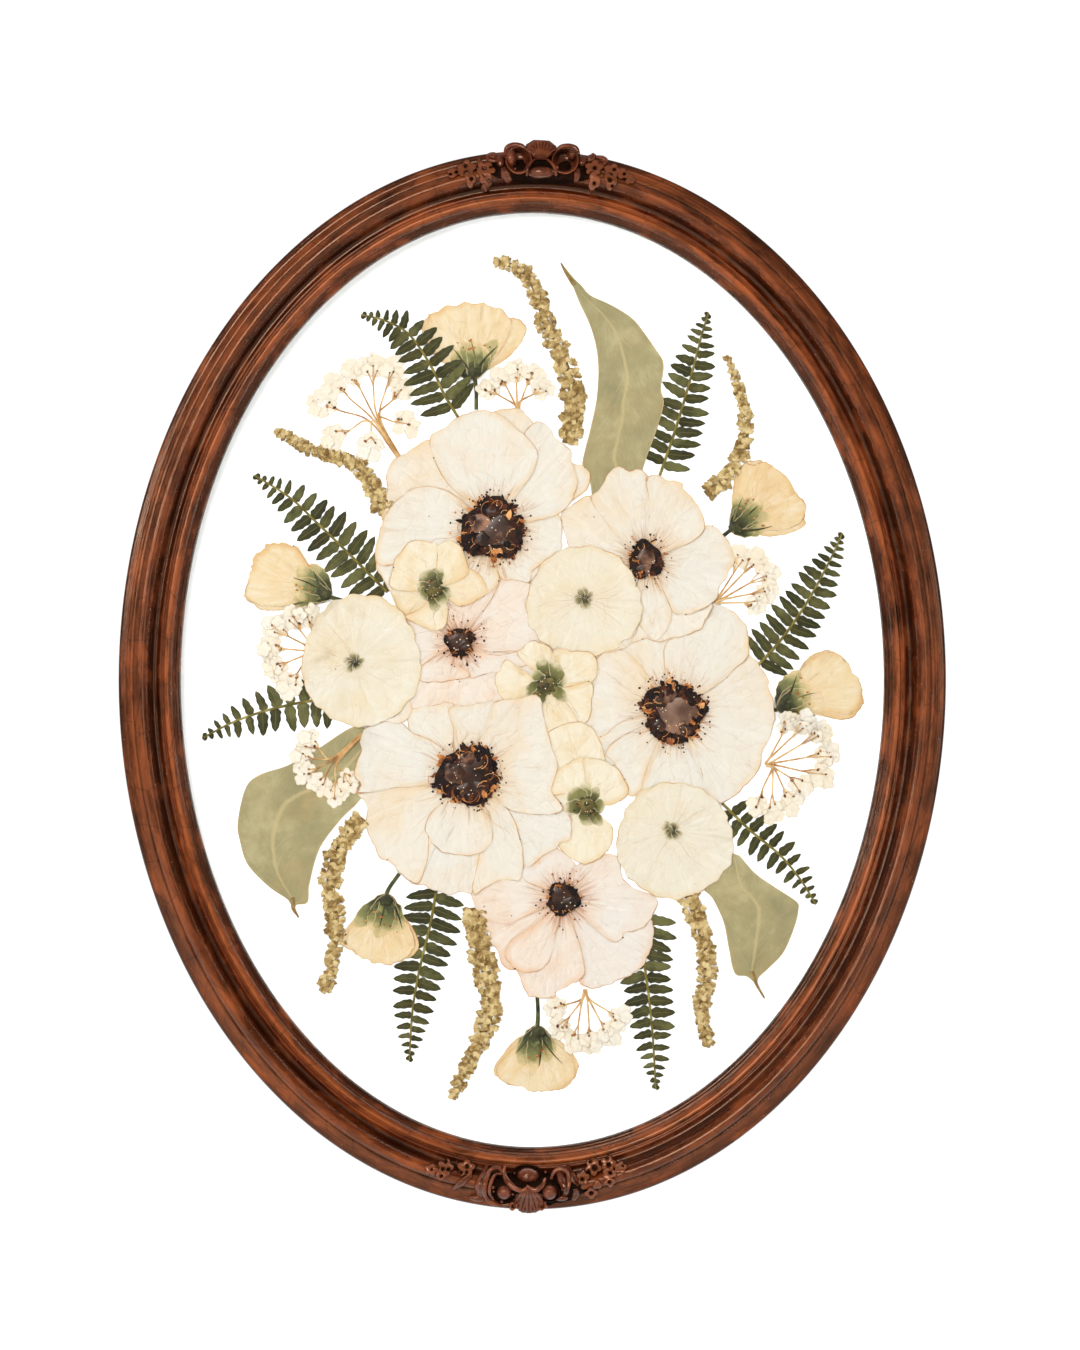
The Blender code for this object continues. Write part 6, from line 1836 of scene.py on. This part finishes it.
def boss(shape, centre, radii, profile, tilt=0.0, lobes=0, lobe=0.0, holes=(), lift=0.0,
         follow=0.5, painted_shade=0.0, look=None):
    """A carved round form. radii in pixels. profile: (share of the radius, height in mm, painted
    shade, how worn, which on the cups is also painted highlight). holes: (x, y, radius) in pixels,
    darkened as painted shade. The shade setting darkens the upper inside as painted shade and keeps
    the painted highlight to the lower rim."""
    centre = at(centre)
    size = max(radii)
    rays = int(np.clip(16 + 2.4 * size, 16, 44))
    profile = np.array([row if len(row) == 4 else (*row, 0.0) for row in profile])
    rings = np.linspace(0, 1, int(np.clip(8 + 0.7 * size, 9, 16)))
    steps = np.linspace(0, 1, len(profile))
    share = np.interp(rings, steps, profile[:, 0])
    rise = np.interp(rings, steps, profile[:, 1])
    groove_shade = np.interp(rings, steps, profile[:, 2])
    worn_and_painted_highlight = np.interp(rings, steps, profile[:, 3])
    turn = np.linspace(0, 2 * math.pi, rays, endpoint=False)
    reach = 1 + lobe * np.abs(np.cos(turn * lobes / 2)) - lobe / 2
    across = share[:, None] * (radii[0] * PIXEL * reach * np.cos(turn))[None]
    up = share[:, None] * (radii[1] * PIXEL * reach * np.sin(turn))[None]
    x = centre[0] + across * math.cos(tilt) - up * math.sin(tilt)
    z = centre[1] + across * math.sin(tilt) + up * math.cos(tilt)
    here, _ = bed_under(x, z)
    middle = bed_under(centre[:1], centre[1:])[0][0]
    height = follow * here + (1 - follow) * middle + lift + rise[:, None]
    groove_shade = np.broadcast_to(groove_shade[:, None], x.shape).copy()
    # Painted shade: the upper inside of a deep cup is darkened.
    if painted_shade:
        high = np.clip(np.sin(turn - 0.5 + tilt), 0, 1)[None]
        band = np.exp(-((share[:, None] - 0.66) / 0.24) ** 2)
        groove_shade = np.maximum(groove_shade, painted_shade * high * band)
    for hole_x, hole_y, hole in holes:
        spot = at((hole_x, hole_y))
        away = np.hypot(x - spot[0], z - spot[1]) / (1.15 * hole * PIXEL)
        pit = np.exp(-away ** 4)
        height = height - 2.2 * pit
        # Painted shade in each hole.
        groove_shade = np.maximum(groove_shade, np.clip(1.25 * pit, 0, 1))
    top = np.stack([x, height, z], -1)
    worn_and_painted_highlight = worn_and_painted_highlight[:, None]
    # Painted highlight: the worn tone is kept mostly to the lower rim.
    if painted_shade:
        worn_and_painted_highlight = worn_and_painted_highlight * (0.15 + 0.85 * np.clip(-np.sin(turn - 0.4 + tilt), 0, 1))[None]
    shape.add(slab(top, 3.2, True), look or CARVING, carved_look_values(x, z, groove_shade),
              per_point(x, worn_and_painted_highlight, 0, 0))


# Rows: share of the radius, height as a share of the rise, painted shade darkening the knob's foot.
DOME_PROFILE = [(0.02, 1.0, 0), (0.35, 0.93, 0), (0.62, 0.75, 0), (0.84, 0.42, 0.05),
                (0.95, 0.1, 0.4), (1.0, -0.9, 0.95)]


def knob(shape, centre, radii, rise, tilt=0.0, lift=0.0, **more):
    """A smooth rounded bump. radii in pixels, rise in mm."""
    profile = [(share, height * rise, groove_shade) for share, height, groove_shade in DOME_PROFILE]
    boss(shape, centre, radii, profile, tilt, lift=lift, **more)


def cup(shape, centre, radii, rise, tilt=0.0, lift=0.0):
    """A hollow round petal with a thin raised rim. Its upper inside is darkened as painted shade and
    its lower rim lightened as painted highlight.
    """
    boss(shape, centre, radii, [
        (0.02, -0.05 * rise, 0.15), (0.3, -0.02 * rise, 0.1), (0.55, 0.12 * rise, 0.05),
        (0.78, 0.55 * rise, 0.05), (0.9, 0.95 * rise, 0.0, 0.7), (0.95, rise, 0.0, 1.0),
        (0.99, 0.8 * rise, 0.1, 0.5), (1.0, -0.8, 0.8),
    ], tilt, lift=lift, painted_shade=1.0)


def hollow(shape, centre, radii, depth, tilt=0.0):
    """A sunken ground around a boss, painted near-black as shade."""
    boss(shape, centre, radii, [
        (0.02, -depth, 0.95), (0.5, -depth, 0.95), (0.8, -0.5 * depth, 0.85), (0.93, 0.5, 0.4),
        (1.0, -0.3, 0.6),
    ], tilt, lift=1.2, look=SHADE_RECESS)


def carved_leaf(shape, spine, widths, rise, lift=0.0, rib=0.35, sunken=False):
    """A carved leaf along places of the picture. widths: half widths in pixels, evenly spaced."""
    line = smooth(places(spine), 26)
    along = tangents(line)
    side = np.stack([-along[:, 1], along[:, 0]], -1)
    rows = np.linspace(0, 1, 26)
    half = np.interp(rows, np.linspace(0, 1, len(widths)), widths) * PIXEL
    lanes = np.linspace(-1, 1, 11)
    grid = line[:, None] + side[:, None] * (half[:, None] * lanes)[..., None]
    x, z = np.moveaxis(grid, -1, 0)
    here, _ = bed_under(x, z)
    body = 1 - np.abs(lanes) ** 2.2
    if sunken:
        body = 0.35 + 0.75 * np.abs(lanes) ** 2 - 1.1 * np.abs(lanes) ** 14
    fade = np.sin(math.pi * np.clip(rows * 0.9 + 0.08, 0, 1)) ** 0.5
    height = here + lift + rise * fade[:, None] * body[None]
    cut = np.exp(-(lanes / 0.16) ** 2)[None] * fade[:, None]
    height = height - rib * cut
    # Painted shade along the cut midrib and at the leaf's edges.
    groove_shade = np.clip(cut * (rib > 0) * 0.7 + np.abs(lanes)[None] ** 10 * 0.8, 0, 1)
    worn_and_painted_highlight = 0.7 * np.exp(-((np.abs(lanes) - 0.72) / 0.14) ** 2)[None] * fade[:, None]
    top = np.stack([x, height, z], -1)
    shape.add(slab(top, 3.0), CARVING, carved_look_values(x, z, groove_shade),
              per_point(x, worn_and_painted_highlight, 0, 0))


def scroll(shape, line, radii, lift=1.2):
    """A round carved rib along places of the picture. radii in mm."""
    line = smooth(places(line), 40)
    radii = np.interp(np.linspace(0, 1, 40), np.linspace(0, 1, len(radii)), radii)
    here, _ = bed_under(line[:, 0], line[:, 1])
    solid = tube(np.stack([line[:, 0], here + lift, line[:, 1]], -1), radii, 10)
    points = solid[0]
    worn_and_painted_highlight = 0.05 + 0.5 * np.clip(ripple(points[:, 0], points[:, 2], 7, 5.0), 0, 1)
    shape.add(solid, CARVING, carved_look_values(points[:, 0], points[:, 2], 0.0),
              per_point(worn_and_painted_highlight, worn_and_painted_highlight, 0, 0))


def carving_bed(shape, left, right, outer, inner, upper):
    """The ground between the carvings, painted dark as shade. left and right in pixels, outer and
    inner insets.
    """
    sign = 1 if upper else -1
    columns = np.linspace(left, right, BED_COLUMNS)
    reach = (columns - CENTRE[0]) * PIXEL
    turn = np.arccos(reach / OUTER_HALF_WIDTH) * sign
    edge, inward = oval_at(turn)
    taper = np.sin(np.linspace(0.02, math.pi - 0.02, BED_COLUMNS)) ** 0.45
    lanes = np.linspace(0, 1, 24)
    middle = (outer + inner) / 2
    insets = middle + (outer + (inner - outer) * lanes[None] - middle) * taper[:, None]
    x = edge[:, None, 0] + inward[:, None, 0] * insets
    z = edge[:, None, 1] + inward[:, None, 1] * insets
    here, _ = bed_under(x, z)
    ends = np.sin(np.linspace(0, math.pi, BED_COLUMNS))[:, None]
    rim = 6 * np.minimum(np.minimum(lanes, 1 - lanes)[None], ends)
    height = here - 0.8 + 1.3 * np.clip(rim, 0, 1) + 0.25 * ripple(x, z, 5, 4.0)
    top = np.stack([x, height, z], -1)
    shape.add(slab(top, 2.5), SHADE_RECESS)


def pierced(shape, centre, radii, tilt, lobes, holes, rise=2.2):
    """A small lobed plate with drilled holes. Its edge and holes are darkened as painted shade."""
    boss(shape, centre, radii, [
        (0.02, rise, 0, 0.5), (0.4, rise, 0, 0.5), (0.7, rise * 0.97, 0, 0.6),
        (0.9, rise * 0.8, 0.05, 0.4), (0.97, rise * 0.3, 0.7, 0), (1.0, -0.8, 1.0, 0),
    ], tilt, lobes=lobes, lobe=0.42, holes=holes, follow=0.9)


def build_top_ornament():
    shape = Shape(pressed=False)
    carving_bed(shape, 480, 604, 0.6, 14.4, True)
    # pierced sprays
    pierced(shape, (467, 171), (9.0, 8.5), 0.3, 5, [(466, 168, 1.8), (467, 175.5, 2.3)])
    pierced(shape, (470.5, 182), (5.5, 8.0), 0.3, 3, [(472, 182, 1.5)])
    pierced(shape, (454, 175), (7.0, 5.0), 0.2, 3, [(451, 176.5, 1.3), (457, 174.5, 1.5)], 1.8)
    pierced(shape, (486, 172), (9.0, 8.0), -0.2, 5, [(484.5, 171, 2.0), (491, 170, 1.2)])
    pierced(shape, (485.5, 180), (6.5, 7.0), 0.1, 5, [(485.5, 177.5, 2.2), (489, 183, 1.5)])
    carved_leaf(shape, [(484, 192.5), (486, 188), (491, 184)], (3.2, 4.6, 2.6), 1.8)
    carved_leaf(shape, [(479, 160), (481, 166), (487, 169)], (1.6, 3.4, 3.0), 2.0)
    pierced(shape, (594, 170), (9.0, 7.5), 0.2, 5, [(594.5, 170.5, 1.7), (592, 176.5, 2.1)])
    pierced(shape, (594, 184), (6.0, 9.0), -0.1, 3, [(594, 186, 1.4)])
    pierced(shape, (612, 173), (8.5, 7.0), 0.0, 5, [(614, 171.5, 1.5), (610, 177.5, 2.0)])
    pierced(shape, (610, 184), (6.5, 8.5), 0.2, 3, [(609.5, 183, 1.9), (612, 189, 1.3)])
    pierced(shape, (623, 176), (6.0, 5.5), -0.4, 3, [(624, 176, 1.3)], 1.8)
    pierced(shape, (630, 182), (4.5, 5.5), -0.5, 3, [], 1.5)
    # leaves and petals beside the cups
    carved_leaf(shape, [(487, 159), (492, 157.5), (500, 159.5)], (3.0, 4.4, 3.0), 2.4, rib=0.2)
    scroll(shape, [(487, 158), (489, 162), (495, 163.5), (500, 162)], (0.5, 0.8, 0.5), 2.6)
    carved_leaf(shape, [(587, 163), (591.5, 159.5), (594.5, 155)], (3.0, 4.6, 2.0), 2.4)
    carved_leaf(shape, [(596, 158), (603, 160), (605, 163), (601, 169)], (1.6, 2.8, 3.0, 1.8), 2.2,
                rib=0.1)
    knob(shape, (500.5, 163), (4.8, 7.6), 3.2, 0.1, 0.4)
    knob(shape, (581.8, 163), (5.6, 6.8), 3.0, -0.2, 0.4)
    carved_leaf(shape, [(503, 170), (506, 178), (510, 184)], (3.0, 5.4, 3.2), 2.0)
    carved_leaf(shape, [(577, 170), (577, 178), (575.5, 185)], (2.2, 3.8, 2.4), 2.0)
    # rosette cups, each with an ovoid bead
    cup(shape, (519, 163), (13.6, 14.4), 4.6, 0.1, 0.6)
    cup(shape, (565, 163.5), (13.8, 14.0), 4.6, -0.1, 0.6)
    scroll(shape, [(505, 158), (507.5, 150), (514, 147.3), (522, 148.5), (527, 153)],
           (0.7, 1.1, 1.2, 1.1, 0.7), 4.6)
    scroll(shape, [(556, 153), (562, 149), (570, 148.5), (576, 151), (578.5, 157)],
           (0.7, 1.1, 1.2, 1.1, 0.7), 4.6)
    knob(shape, (511.5, 160.5), (5.6, 10.0), 4.2, 0.12, 3.6, follow=0.1)
    knob(shape, (572, 156.5), (5.2, 7.0), 4.0, -0.4, 4.2, follow=0.1)
    # the lower hollow between the cups, with its arch and its swelling
    hollow(shape, (541.5, 170.5), (14.5, 10.0), 0.6)
    knob(shape, (541, 175.5), (14.0, 6.2), 3.0, 0.0, 1.6, follow=0.2)
    scroll(shape, [(527, 179), (528, 171), (532, 164.5), (537, 161.5), (545, 161.5),
                   (550, 164.5), (554.5, 171), (556, 179)],
           (0.6, 0.7, 0.6, 0.4, 0.4, 0.6, 0.7, 0.6),
           4.2)
    for x, y, size in ((527.6, 172, 2.0), (553.4, 174.6, 2.0), (515.5, 172.5, 1.4),
                       (536.5, 161, 1.4), (544.5, 161.5, 1.4), (557, 171, 1.8)):
        knob(shape, (x, y), (size, size), 1.6, 0, 4.6, follow=0.2)
    # the ribbed shell on top
    shell = [(541, 162), (541, 152), (541.5, 142)]
    carved_leaf(shape, shell, (6.0, 13.0, 16.5, 15.0, 8.0), 3.6, 3.0, rib=0.0)
    for step in range(9):
        lean = (step - 4) / 4
        end = (541.5 + 14.5 * lean, 143.0 + 8.5 * lean ** 2)
        knee = (541 + 9.0 * lean, 153.0 + 2.0 * lean ** 2)
        scroll(shape, [(541 + 3.5 * lean, 162), knee, end], (0.45, 0.75, 0.5),
               6.6 - 1.5 * lean ** 2)
    shape.make("top_carving", "carved_wood", "top_ornament", sharp=60)


def build_bottom_ornament():
    shape = Shape(pressed=False)
    carving_bed(shape, 478, 588, 0.6, 16.4, False)
    # pierced sprays
    pierced(shape, (446, 1165), (7.5, 7.5), 0.0, 5,
            [(446, 1159.5, 1.7), (443.5, 1166.5, 1.7), (449, 1167, 1.8)])
    pierced(shape, (442, 1172), (6.0, 5.0), 0.4, 3, [(442, 1173, 1.4)])
    pierced(shape, (432, 1167), (6.5, 5.5), 0.0, 5, [(432.5, 1166.5, 0.9)], 1.8)
    pierced(shape, (466.5, 1166), (8.5, 7.5), 0.2, 5,
            [(467.5, 1164.5, 1.6), (461.5, 1170, 1.6), (467, 1170, 1.5)])
    carved_leaf(shape, [(472, 1172), (463, 1179), (453, 1188)], (2.4, 4.4, 2.0), 2.0)
    pierced(shape, (593, 1165), (8.0, 7.5), -0.2, 5,
            [(594.5, 1166, 2.3), (590, 1160, 1.2), (588.5, 1169.5, 1.5)])
    pierced(shape, (583, 1175), (6.0, 6.5), 0.3, 5, [(582, 1176.5, 1.7)])
    pierced(shape, (608, 1161.5), (7.5, 7.0), 0.1, 5, [(608.5, 1163, 1.8), (607, 1156.5, 1.5)])
    pierced(shape, (608.5, 1171), (7.0, 5.5), 0.0, 3, [(601.5, 1166, 1.9), (610, 1170, 1.8)])
    pierced(shape, (609.5, 1179), (5.5, 5.5), 0.2, 4, [(609, 1179, 1.5)])
    pierced(shape, (620, 1165), (6.5, 5.5), 0.2, 5, [(622.5, 1163.5, 0.9)], 1.8)
    pierced(shape, (591, 1191), (6.5, 5.5), 0.1, 4, [(591, 1191, 1.9)], 1.8)
    pierced(shape, (597, 1182), (4.5, 5.0), -0.4, 3, [], 1.8)
    # acanthus leaves and scrolls
    carved_leaf(shape, [(488, 1163), (485, 1172), (481, 1180), (480, 1196)],
                (1.6, 4.6, 6.0, 3.4), 2.4)
    carved_leaf(shape, [(470, 1196), (476, 1197), (484, 1198)], (2.0, 3.6, 2.4), 1.6)
    carved_leaf(shape, [(567, 1163), (571, 1173), (579, 1182)], (1.6, 4.6, 2.4), 2.6, sunken=True)
    carved_leaf(shape, [(575, 1186), (576, 1192), (573, 1199)], (2.6, 4.4, 2.4), 2.2)
    scroll(shape, [(503, 1172), (499, 1166), (491, 1168), (486, 1178), (485, 1190), (490, 1199),
                   (500, 1203), (510, 1202)], (0.5, 0.9, 1.1, 1.2, 1.1, 1.0, 0.9, 0.6), 2.6)
    scroll(shape, [(502, 1172), (496, 1172), (491, 1180), (490, 1190), (494, 1197)],
           (0.4, 0.7, 0.8, 0.8, 0.5), 3.2)
    scroll(shape, [(551, 1176), (555, 1169), (561, 1167), (567, 1170), (569, 1179), (567, 1188)],
           (0.5, 0.9, 1.0, 1.0, 0.9, 0.5), 3.0)
    carved_leaf(shape, [(557, 1168), (562, 1177), (566, 1188), (563, 1195)],
                (2.0, 4.6, 4.4, 2.0), 3.2, 0.6)
    knob(shape, (562, 1196), (7.0, 3.6), 2.4, 0.1, 1.0)
    # the round bosses in their hollows
    hollow(shape, (503.5, 1188.5), (13.5, 12.5), 0.8)
    knob(shape, (504.5, 1189.5), (8.4, 8.0), 4.2, 0.0, 0.8, follow=0.2)
    hollow(shape, (549, 1188.5), (11.5, 11.5), 0.8)
    knob(shape, (549.5, 1189.5), (8.0, 8.0), 4.2, 0.0, 0.8, follow=0.2)
    hollow(shape, (527, 1174), (17.0, 11.0), 0.8)
    knob(shape, (528, 1173.5), (11.8, 8.4), 4.8, 0.0, 1.0, follow=0.2)
    scroll(shape, [(506, 1163), (504, 1169), (507, 1177), (514, 1184), (522, 1187), (527, 1184)],
           (0.5, 1.0, 1.3, 1.2, 1.0, 0.5), 3.8)
    scroll(shape, [(545, 1176), (543, 1181), (537, 1186), (531, 1185), (527, 1182)],
           (0.6, 1.0, 1.1, 0.9, 0.5), 3.8)
    for x, y, size in ((514.5, 1171, 1.5), (493.5, 1184, 1.8), (494, 1188, 1.4), (502, 1199, 2.2),
                       (513, 1191, 1.7), (545, 1200, 2.0), (562, 1186, 1.3), (539, 1206, 2.0),
                       (516, 1199, 1.8), (545.5, 1170, 1.6)):
        knob(shape, (x, y), (size, size), 1.7, 0, 3.0, follow=0.2)
    # the shell below
    shell = [(529, 1184), (529, 1198), (529, 1211)]
    carved_leaf(shape, shell, (5.0, 12.0, 17.0, 15.0, 7.0), 2.6, 2.0, rib=0.0)
    for step in range(5):
        lean = (step - 2) / 2
        end = (529 + 16.0 * lean, 1211.0 - 6.5 * lean ** 2)
        knee = (529 + 9.5 * lean, 1198.5 - 1.0 * lean ** 2)
        carved_leaf(shape, [(529 + 2.0 * lean, 1185), knee, end], (1.6, 4.4, 4.8, 2.6), 1.8,
                    4.0 - 1.2 * lean ** 2, rib=0.8)
    for x in (513.5, 542.5):
        pierced(shape, (x, 1204), (4.6, 4.6), 0.0, 3, [(x, 1204, 1.7)], 4.4)
    shape.make("bottom_carving", "carved_wood", "bottom_ornament", sharp=60)


build_top_ornament()
build_bottom_ornament()


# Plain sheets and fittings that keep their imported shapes

def plain_look(name, dark, light, scale, roughness, bump=0.0002, **inputs):
    look = Look(name, light, roughness, **inputs)
    cloud = look.noise(look.place(), scale, 4.0, 0.6)
    look.colour(look.ramp(cloud, (0.3, dark), (0.7, light)))
    look.normal(look.bump(look.noise(look.place(), scale * 12, 3.0), bump, 0.4))
    return look.material


def glass_look():
    look = Look("picture_glass", (1.0, 1.0, 1.0), 0.02)
    tree = look.tree
    clear = look.add("ShaderNodeBsdfTransparent", {"Color": (0.985, 0.99, 0.988)})
    gloss = look.add("ShaderNodeBsdfGlossy", {"Roughness": 0.03})
    slant = look.add("ShaderNodeLayerWeight", {"Blend": 0.5}).outputs["Facing"]
    share = look.plus(look.times(look.math("POWER", slant, 5.0), 0.6), 0.004)
    both = look.add("ShaderNodeMixShader")
    tree.links.new(share, both.inputs[0])
    tree.links.new(clear.outputs[0], both.inputs[1])
    tree.links.new(gloss.outputs[0], both.inputs[2])
    tree.links.new(both.outputs[0], tree.nodes["Material Output"].inputs["Surface"])
    return look.material


NODE_LOOKS = {
    "mat_board": plain_look("mat_paper", srgb("#F8F7F5", 0.96), srgb("#FFFFFF", 0.96), 40.0, 0.85),
    "glass_spacer": plain_look("spacer_card", srgb("#EDEBE6", 0.95), srgb("#FBFAF7", 0.95), 60.0,
                               0.85),
    "backing_board": plain_look("grey_board_skin", srgb("#6E675C"), srgb("#8D857A"), 90.0, 0.9),
    "dust_cover": plain_look("kraft_skin", srgb("#A67C52"), srgb("#C29A6C"), 55.0, 0.8, 0.0004),
    "sawtooth_hanger": plain_look("hanger_metal", srgb("#A88A4C"), srgb("#D8BC7C"), 120.0, 0.32,
                                  Metallic=1.0),
    "hanger_nail_left": plain_look("nail_metal", srgb("#9C8048"), srgb("#CDB070"), 150.0, 0.35,
                                   Metallic=1.0),
    "glass_pane": glass_look(),
}
NODE_LOOKS["hanger_nail_right"] = NODE_LOOKS["hanger_nail_left"]
for node, look in NODE_LOOKS.items():
    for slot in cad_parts[node].material_slots:
        slot.material = look


# Light, floor and camera

# Lights that face the frame's middle: name, place in metres, size in metres, power in watts
LIGHTS = [
    ("key", (-0.5, -2.2, 0.7), 1.0, 41),
    ("fill", (1.6, -1.5, 0.1), 0.8, 7),
    ("edge", (-1.8, -1.55, 0.5), 0.5, 16),
]


def area_light(name, place, size, power):
    data = bpy.data.lights.new(name, "AREA")
    data.shape = "DISK"
    data.size = size
    data.energy = power
    light = bpy.data.objects.new(name, data)
    light.location = place
    light.rotation_euler = (-Vector(place)).to_track_quat("-Z", "Y").to_euler()
    bpy.context.scene.collection.objects.link(light)


# The room: how bright it is in front, behind the frame, and in reflections, and where behind begins
ROOM_LIGHT = 0.68
WALL_LIGHT = 1.05
REFLECTED_LIGHT = 0.22
WALL_FROM = 0.55
WALL_TO = 0.85
FLOOR_HALF = 3.0
FLOOR_LEVEL = -0.62

# The camera, in metres and in millimetres of film
CAMERA_DISTANCE = 2.6
CAMERA_PLANE = 12.0 * MM
FILM = 36.0


def build_stage():
    scene = bpy.context.scene
    scene.view_settings.view_transform = "Standard"
    world = bpy.data.worlds.new("studio")
    scene.world = world
    world.use_nodes = True
    nodes = world.node_tree.nodes
    link = world.node_tree.links.new
    background = nodes["Background"]
    background.inputs["Color"].default_value = (1.0, 1.0, 1.0, 1.0)
    direction = nodes.new("ShaderNodeTexCoord")
    parts = nodes.new("ShaderNodeSeparateXYZ")
    behind = nodes.new("ShaderNodeMapRange")
    for socket, value in (("From Min", WALL_FROM), ("From Max", WALL_TO),
                          ("To Min", ROOM_LIGHT), ("To Max", WALL_LIGHT)):
        behind.inputs[socket].default_value = value
    link(direction.outputs["Generated"], parts.inputs["Vector"])
    link(parts.outputs["Y"], behind.inputs["Value"])
    path = nodes.new("ShaderNodeLightPath")
    seen = nodes.new("ShaderNodeMix")
    seen.inputs["B"].default_value = REFLECTED_LIGHT
    link(path.outputs["Is Glossy Ray"], seen.inputs["Factor"])
    link(behind.outputs["Result"], seen.inputs["A"])
    link(seen.outputs["Result"], background.inputs["Strength"])
    floor_mesh = bpy.data.meshes.new("floor")
    corners = ((-1, -1), (1, -1), (1, 1), (-1, 1))
    floor_mesh.from_pydata([(x * FLOOR_HALF, y * FLOOR_HALF, FLOOR_LEVEL) for x, y in corners],
                           [], [(0, 1, 2, 3)])
    floor_mesh.materials.append(plain_look("pale_floor", (0.82, 0.82, 0.82), (0.86, 0.86, 0.86),
                                           3.0, 0.8))
    floor = bpy.data.objects.new("floor", floor_mesh)
    scene.collection.objects.link(floor)
    for name, place, size, power in LIGHTS:
        area_light(name, place, size, power)


def build_camera():
    scene = bpy.context.scene
    data = bpy.data.cameras.new("camera")
    data.sensor_width = FILM
    data.lens = FILM * CAMERA_DISTANCE / (PICTURE[1] * PIXEL * MM)
    camera = bpy.data.objects.new("camera", data)
    x, z = at((PICTURE[0] / 2, PICTURE[1] / 2)) * MM
    camera.location = (x, -(CAMERA_DISTANCE + CAMERA_PLANE), z)
    camera.rotation_euler = (math.pi / 2, 0, 0)
    scene.collection.objects.link(camera)
    scene.camera = camera


build_stage()
build_camera()
